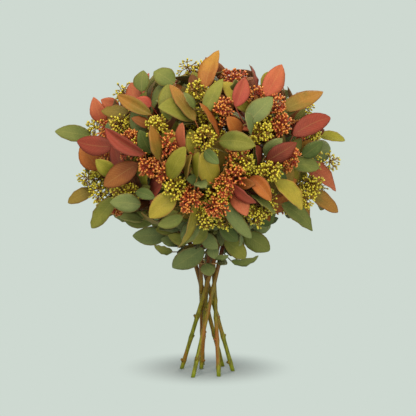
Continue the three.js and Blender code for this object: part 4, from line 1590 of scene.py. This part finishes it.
class EUCALYPTUS_OT_leaves(bpy.types.Operator):
    """Grows every leaf: a folded, waved blade on a bent stalk"""

    bl_idname = "eucalyptus.leaves"
    bl_label = "Leaves"

    def execute(self, context):
        settings = context.scene.eucalyptus_leaves
        material = dried_leaf()
        for k in range(len(bunch().stems)):
            blades, layers = self.leaf_mesh()
            stalks, stalk_layers = self.leaf_mesh()
            for n, leaf in enumerate(bunch().leaves):
                if leaf["stem"] == k:
                    draw = stream(BLADE_SEEDS + n)
                    tints = self.tints_of(leaf, draw)
                    self.add_blade(blades, layers, leaf, tints, draw, settings)
                    self.add_stalk(stalks, stalk_layers, leaf, tints)
            self.thicken(blades, layers[0], settings.thickness)
            absorb(blades, stalks)
            finish_piece(f"leaves_{k + 1}", blades, material, f"leafy_stem_{k + 1}")
        return {"FINISHED"}

    def leaf_mesh(self):
        """A mesh, with its layer for the place on a blade and one for each tint."""
        bm = bmesh.new()
        layers = bm.verts.layers
        return bm, [layers.float_vector.new("blade"), *map(layers.float_color.new, TINTS)]

    def tints_of(self, leaf, draw):
        """The base, tip and rim colours of one leaf, each varied a little; an inner leaf's are darkened
        by a painted shade.
        """
        name = leaf["colouring"]
        height = leaf["base"][2]
        shade = LEAF_SHADE + spread(draw, SHADE_SPREAD)
        if name is None:
            upper = HIGH_MIX if height > HIGH_FROM else MIDDLE_MIX
            name = pick(draw, upper if height > MIDDLE_FROM else LOW_MIX)
        if name == "inner":
            name = pick(draw, INNER_MIX if height > MIDDLE_FROM else LOW_MIX)
            # painted shade: an inner leaf is darkened for the depth of the head
            shade *= INNER_PAINTED_SHADE
        return [
            tuple(c * shade * hue for c, hue in zip(linear(code), LEAF_HUE)) + (1.0,)
            for code in COLOURINGS[name]
        ]

    def add_blade(self, bm, layers, leaf, tints, draw, settings):
        """A flat grid bent along the blade's midrib and drawn in to its outline."""
        steps = INNER_STEPS if leaf["colouring"] == "inner" else BLADE_STEPS
        grid = bmesh.ops.create_grid(bm, x_segments=BLADE_COLUMNS, y_segments=steps, size=1.0)
        usual = settings.fold * between(draw, FOLD_SPREAD)
        fold = math.radians(leaf["fold"]) or usual
        wave = settings.wave / MM * between(draw, WAVE_SPREAD)
        shape = outline(between(draw, TIPS))
        ripples, phase = between(draw, RIPPLES), between(draw, ANY_ANGLE)
        for v in grid["verts"]:
            u = v.co.x
            s = 0.5 - 0.5 * math.cos(math.pi * (v.co.y + 1) / 2)
            middle, across, face, half = blade_station(leaf, s, shape)
            half = max(half, TIP_HALF)
            angle = ripples * ROUGH_TURN * s + phase + (RIPPLE_SHIFT if u > 0 else 0.0)
            rise = abs(u) * half * math.sin(fold) - CUPPING * half * math.sin(fold) * u * u
            rise += wave * u * u * math.sin(angle) * min(1.0, half / WAVED_HALF)
            v.co = metres(along(along(middle, across, u * half * math.cos(fold)), face, rise))
            for layer, value in zip(layers, ((u, s, 0.0), *tints)):
                v[layer] = value

    def thicken(self, bm, blade, thickness):
        """Gives all blades their thickness and marks their undersides."""
        bmesh.ops.reverse_faces(bm, faces=bm.faces)
        bm.normal_update()
        uppers = set(bm.verts)
        bmesh.ops.solidify(bm, geom=list(bm.faces), thickness=thickness)
        for v in bm.verts:
            if v not in uppers:
                u, s, _ = v[blade]
                v[blade] = (u, s, 1.0)

    def add_stalk(self, bm, layers, leaf, tints):
        """A leaf's stalk, which runs on under the midrib and fades out there."""
        path = smooth_path(leaf["stalk"], SMOOTH_STALK_STEP)
        keel = [blade_station(leaf, s) for s in KEEL_SHARES]
        path += [along(middle, face, -KEEL_DROP) for middle, _, face, _ in keel]
        radii = [*taper(len(path) - len(keel), *STALK_RADII), *KEEL_RADII]
        rim = tints[2]
        for ring in sweep(bm, path, radii, THIN_SIDES):
            for v in ring:
                for layer, value in zip(layers, (STALK_PLACE, rim, rim, rim)):
                    v[layer] = value


class EUCALYPTUS_OT_buds(bpy.types.Operator):
    """Grows the bud clusters: each branch ends in a tuft of stalked buds"""

    bl_idname = "eucalyptus.buds"
    bl_label = "Bud Clusters"

    def execute(self, context):
        settings = context.scene.eucalyptus_buds
        materials = {
            colour: ripe_buds(f"{colour}_buds", *codes) for colour, codes in BUD_COLOURS.items()
        }
        meshes = {}
        for n, head in enumerate(bunch().clusters + bunch().tufts):
            key = (head["stem"], head["colour"])
            if key not in meshes:
                meshes[key] = self.bud_mesh()[0]
            part = self.bud_mesh()
            guards = bunch().guards.around(head["hub"], HEAD_REACH)
            self.add_cluster(part, head, guards, stream(BUD_SEEDS + n), settings)
            absorb(meshes[key], part[0])
        for (stem, colour), bm in sorted(meshes.items()):
            name, node = f"{colour}_buds_{stem + 1}", f"leafy_stem_{stem + 1}"
            finish_piece(name, bm, materials[colour], node)
        return {"FINISHED"}

    def bud_mesh(self):
        """A mesh, with its layers for the place on a bud and for the bud's own shade."""
        bm = bmesh.new()
        return bm, bm.verts.layers.float.new("ripe"), bm.verts.layers.float.new("tint")

    def add_cluster(self, part, head, guards, draw, settings):
        """Branches from a hub; each branch fans out into stalked buds."""
        sizes = (settings.length, settings.width, settings.stalk)
        length, width, stalk = (size / MM for size in sizes)
        for way, reach, _ in head["rays"]:
            bare = reach - stalk - length * BUD_OVERHANG
            fork = along(head["hub"], way, bare * between(draw, FORK_SPREAD))
            self.add_rod(part, head["hub"], fork, BRANCH_RADII, 0.0)
            first = any_square_to(way)
            for n in range(round(settings.per_ray * head["fullness"])):
                lean = between(draw, BUD_LEAN) if n else 0.0
                sideways = turned(first, way, n * GOLDEN_TURN + spread(draw, BUD_STRAY))
                aim = unit(along(tuple(w * math.cos(lean) for w in way), sideways, math.sin(lean)))
                start = along(fork, way, -BUDDING_LENGTH * draw() ** 2)
                foot = along(start, aim, stalk * between(draw, BUD_STALKS))
                end = along(foot, aim, length)
                if not guards.rod_blocked(head["stem"], start, end, BUD_STALK_RADII[0]):
                    shade = draw()
                    self.add_rod(part, start, foot, BUD_STALK_RADII, shade)
                    long = length * between(draw, BUD_LENGTHS)
                    self.add_bud(part, foot, aim, long, width, shade)

    def add_rod(self, part, start, end, radii, shade):
        """A thin straight stalk."""
        bm, ripe, tint = part
        made = bmesh.ops.create_cone(
            bm, cap_ends=True, segments=BUD_STALK_SIDES,
            radius1=radii[0] * MM, radius2=radii[1] * MM, depth=distance(start, end) * MM,
            matrix=stood(metres(between_points(start, end, 0.5)), toward(start, end)),
        )["verts"]
        for v in made:
            v[ripe], v[tint] = 0.0, shade

    def add_bud(self, part, foot, aim, length, width, shade):
        """A bud: a sphere drawn out and narrowed toward its stalk."""
        bm, ripe, tint = part
        centre = metres(along(foot, aim, length * 0.5 - BUD_SUNK))
        axis = Vector(aim)
        matrix = stood(centre, axis)
        matrix @= Matrix.Diagonal((width / 2 * MM, width / 2 * MM, length / 2 * MM, 1.0))
        made = bmesh.ops.create_icosphere(bm, subdivisions=1, radius=BUD_FILL, matrix=matrix)
        for v in made["verts"]:
            offset = v.co - centre
            t = offset.dot(axis) / (length / 2 * MM)
            v[ripe], v[tint] = 0.5 + 0.5 * t, shade
            if t < 0:
                rise = axis * offset.dot(axis)
                v.co = centre + rise + (offset - rise) * (1 + BUD_NARROWING * t)


class EUCALYPTUS_OT_tie(bpy.types.Operator):
    """Winds the twine round the stems"""

    bl_idname = "eucalyptus.tie"
    bl_label = "Twine"

    def execute(self, context):
        bm = bmesh.new()
        for strand in range(STRANDS):
            path = []
            for i in range(STRAND_STEPS):
                degrees = 360 * i / STRAND_STEPS
                turn = TWISTS * math.radians(degrees) + math.tau * strand / STRANDS
                radius = CORD_CIRCLE + STRAND_OFFSET * math.cos(turn)
                height = TIE_HEIGHT + STRAND_OFFSET * math.sin(turn)
                path.append(polar(degrees, radius, height))
            rings = sweep(bm, path, [STRAND_RADIUS] * STRAND_STEPS, THIN_SIDES)
            self.join_ends(bm, rings[0], rings[-1])
        finish_piece("twine", bm, jute_twine(), "tie")
        return {"FINISHED"}

    def join_ends(self, bm, first, last):
        """Takes the caps off a strand's two ends and closes it into a ring."""
        edges = []
        for ring in (first, last):
            caps = {f for v in ring for f in v.link_faces if all(c in ring for c in f.verts)}
            bmesh.ops.delete(bm, geom=list(caps), context="FACES_ONLY")
            edges += [e for e in edges_at(ring) if all(v in ring for v in e.verts)]
        bmesh.ops.bridge_loops(bm, edges=edges)


class EUCALYPTUS_OT_stage(bpy.types.Operator):
    """Sets out the pale floor, the soft studio light and the camera"""

    bl_idname = "eucalyptus.stage"
    bl_label = "Stage"

    def execute(self, context):
        settings = context.scene.eucalyptus_stage
        scene = context.scene
        scene.view_settings.view_transform = "Standard"
        backdrop = (*settings.backdrop, 1.0)
        self.add_floor(backdrop)
        world = bpy.data.worlds.new("studio")
        world.use_nodes = True
        world.node_tree.nodes["Background"].inputs["Color"].default_value = backdrop
        scene.world = world
        for name, place, size, share in LIGHTS:
            self.add_light(name, place, size, settings.key_power * share)
        lens = bpy.data.cameras.new("camera")
        lens.lens, lens.sensor_width = LENS, SENSOR
        camera = bpy.data.objects.new("camera", lens)
        camera.location = metres(EYE)
        aim = metres(LOOK_AT)
        camera.rotation_euler = (aim - camera.location).to_track_quat("-Z", "Y").to_euler()
        scene.collection.objects.link(camera)
        scene.camera = camera
        return {"FINISHED"}

    def add_floor(self, backdrop):
        bm = bmesh.new()
        bmesh.ops.create_circle(bm, cap_ends=True, segments=FLOOR_SIDES, radius=FLOOR_RADIUS)
        mesh = bpy.data.meshes.new("floor")
        bm.to_mesh(mesh)
        bm.free()
        mesh.materials.append(floor_with_painted_shadow(backdrop))
        floor = bpy.data.objects.new("floor", mesh)
        bpy.context.scene.collection.objects.link(floor)

    def add_light(self, name, place, size, power):
        """A square soft light aimed at the middle of the bunch."""
        data = bpy.data.lights.new(name, "AREA")
        data.size, data.energy = size, power
        data.color = linear(WARM_WHITE)[:3]
        light = bpy.data.objects.new(name, data)
        light.location = place
        aim = Vector(LIT) - light.location
        light.rotation_euler = aim.to_track_quat("-Z", "Y").to_euler()
        bpy.context.scene.collection.objects.link(light)


class EUCALYPTUS_PT_panel(bpy.types.Panel):
    """Lists the bunch's pieces and their settings"""

    bl_idname = "EUCALYPTUS_PT_panel"
    bl_label = "Dried Eucalyptus Bunch"
    bl_space_type = "VIEW_3D"
    bl_region_type = "UI"
    bl_category = "Eucalyptus"

    def draw(self, context):
        for title, operator, group in STEPS:
            box = self.layout.box()
            box.operator(operator, text=title)
            settings = getattr(context.scene, group, None) if group else None
            for name in settings.__annotations__ if settings else ():
                box.prop(settings, name)


STEPS = (
    ("Stage", "eucalyptus.stage", "eucalyptus_stage"),
    ("Stems and twigs", "eucalyptus.stems", "eucalyptus_stems"),
    ("Leaves", "eucalyptus.leaves", "eucalyptus_leaves"),
    ("Bud clusters", "eucalyptus.buds", "eucalyptus_buds"),
    ("Twine", "eucalyptus.tie", None),
)
SETTINGS = {
    "eucalyptus_stems": StemSettings,
    "eucalyptus_leaves": LeafSettings,
    "eucalyptus_buds": BudSettings,
    "eucalyptus_stage": StageSettings,
}
CLASSES = (
    *SETTINGS.values(),
    EUCALYPTUS_OT_stems,
    EUCALYPTUS_OT_leaves,
    EUCALYPTUS_OT_buds,
    EUCALYPTUS_OT_tie,
    EUCALYPTUS_OT_stage,
    EUCALYPTUS_PT_panel,
)


def register():
    for cls in CLASSES:
        bpy.utils.register_class(cls)
    for name, cls in SETTINGS.items():
        setattr(bpy.types.Scene, name, bpy.props.PointerProperty(type=cls))


def unregister():
    for name in SETTINGS:
        delattr(bpy.types.Scene, name)
    for cls in reversed(CLASSES):
        bpy.utils.unregister_class(cls)


def main():
    register()
    bpy.ops.eucalyptus.stage()
    bpy.ops.eucalyptus.stems()
    bpy.ops.eucalyptus.leaves()
    bpy.ops.eucalyptus.buds()
    bpy.ops.eucalyptus.tie()


if __name__ == "__main__":
    main()
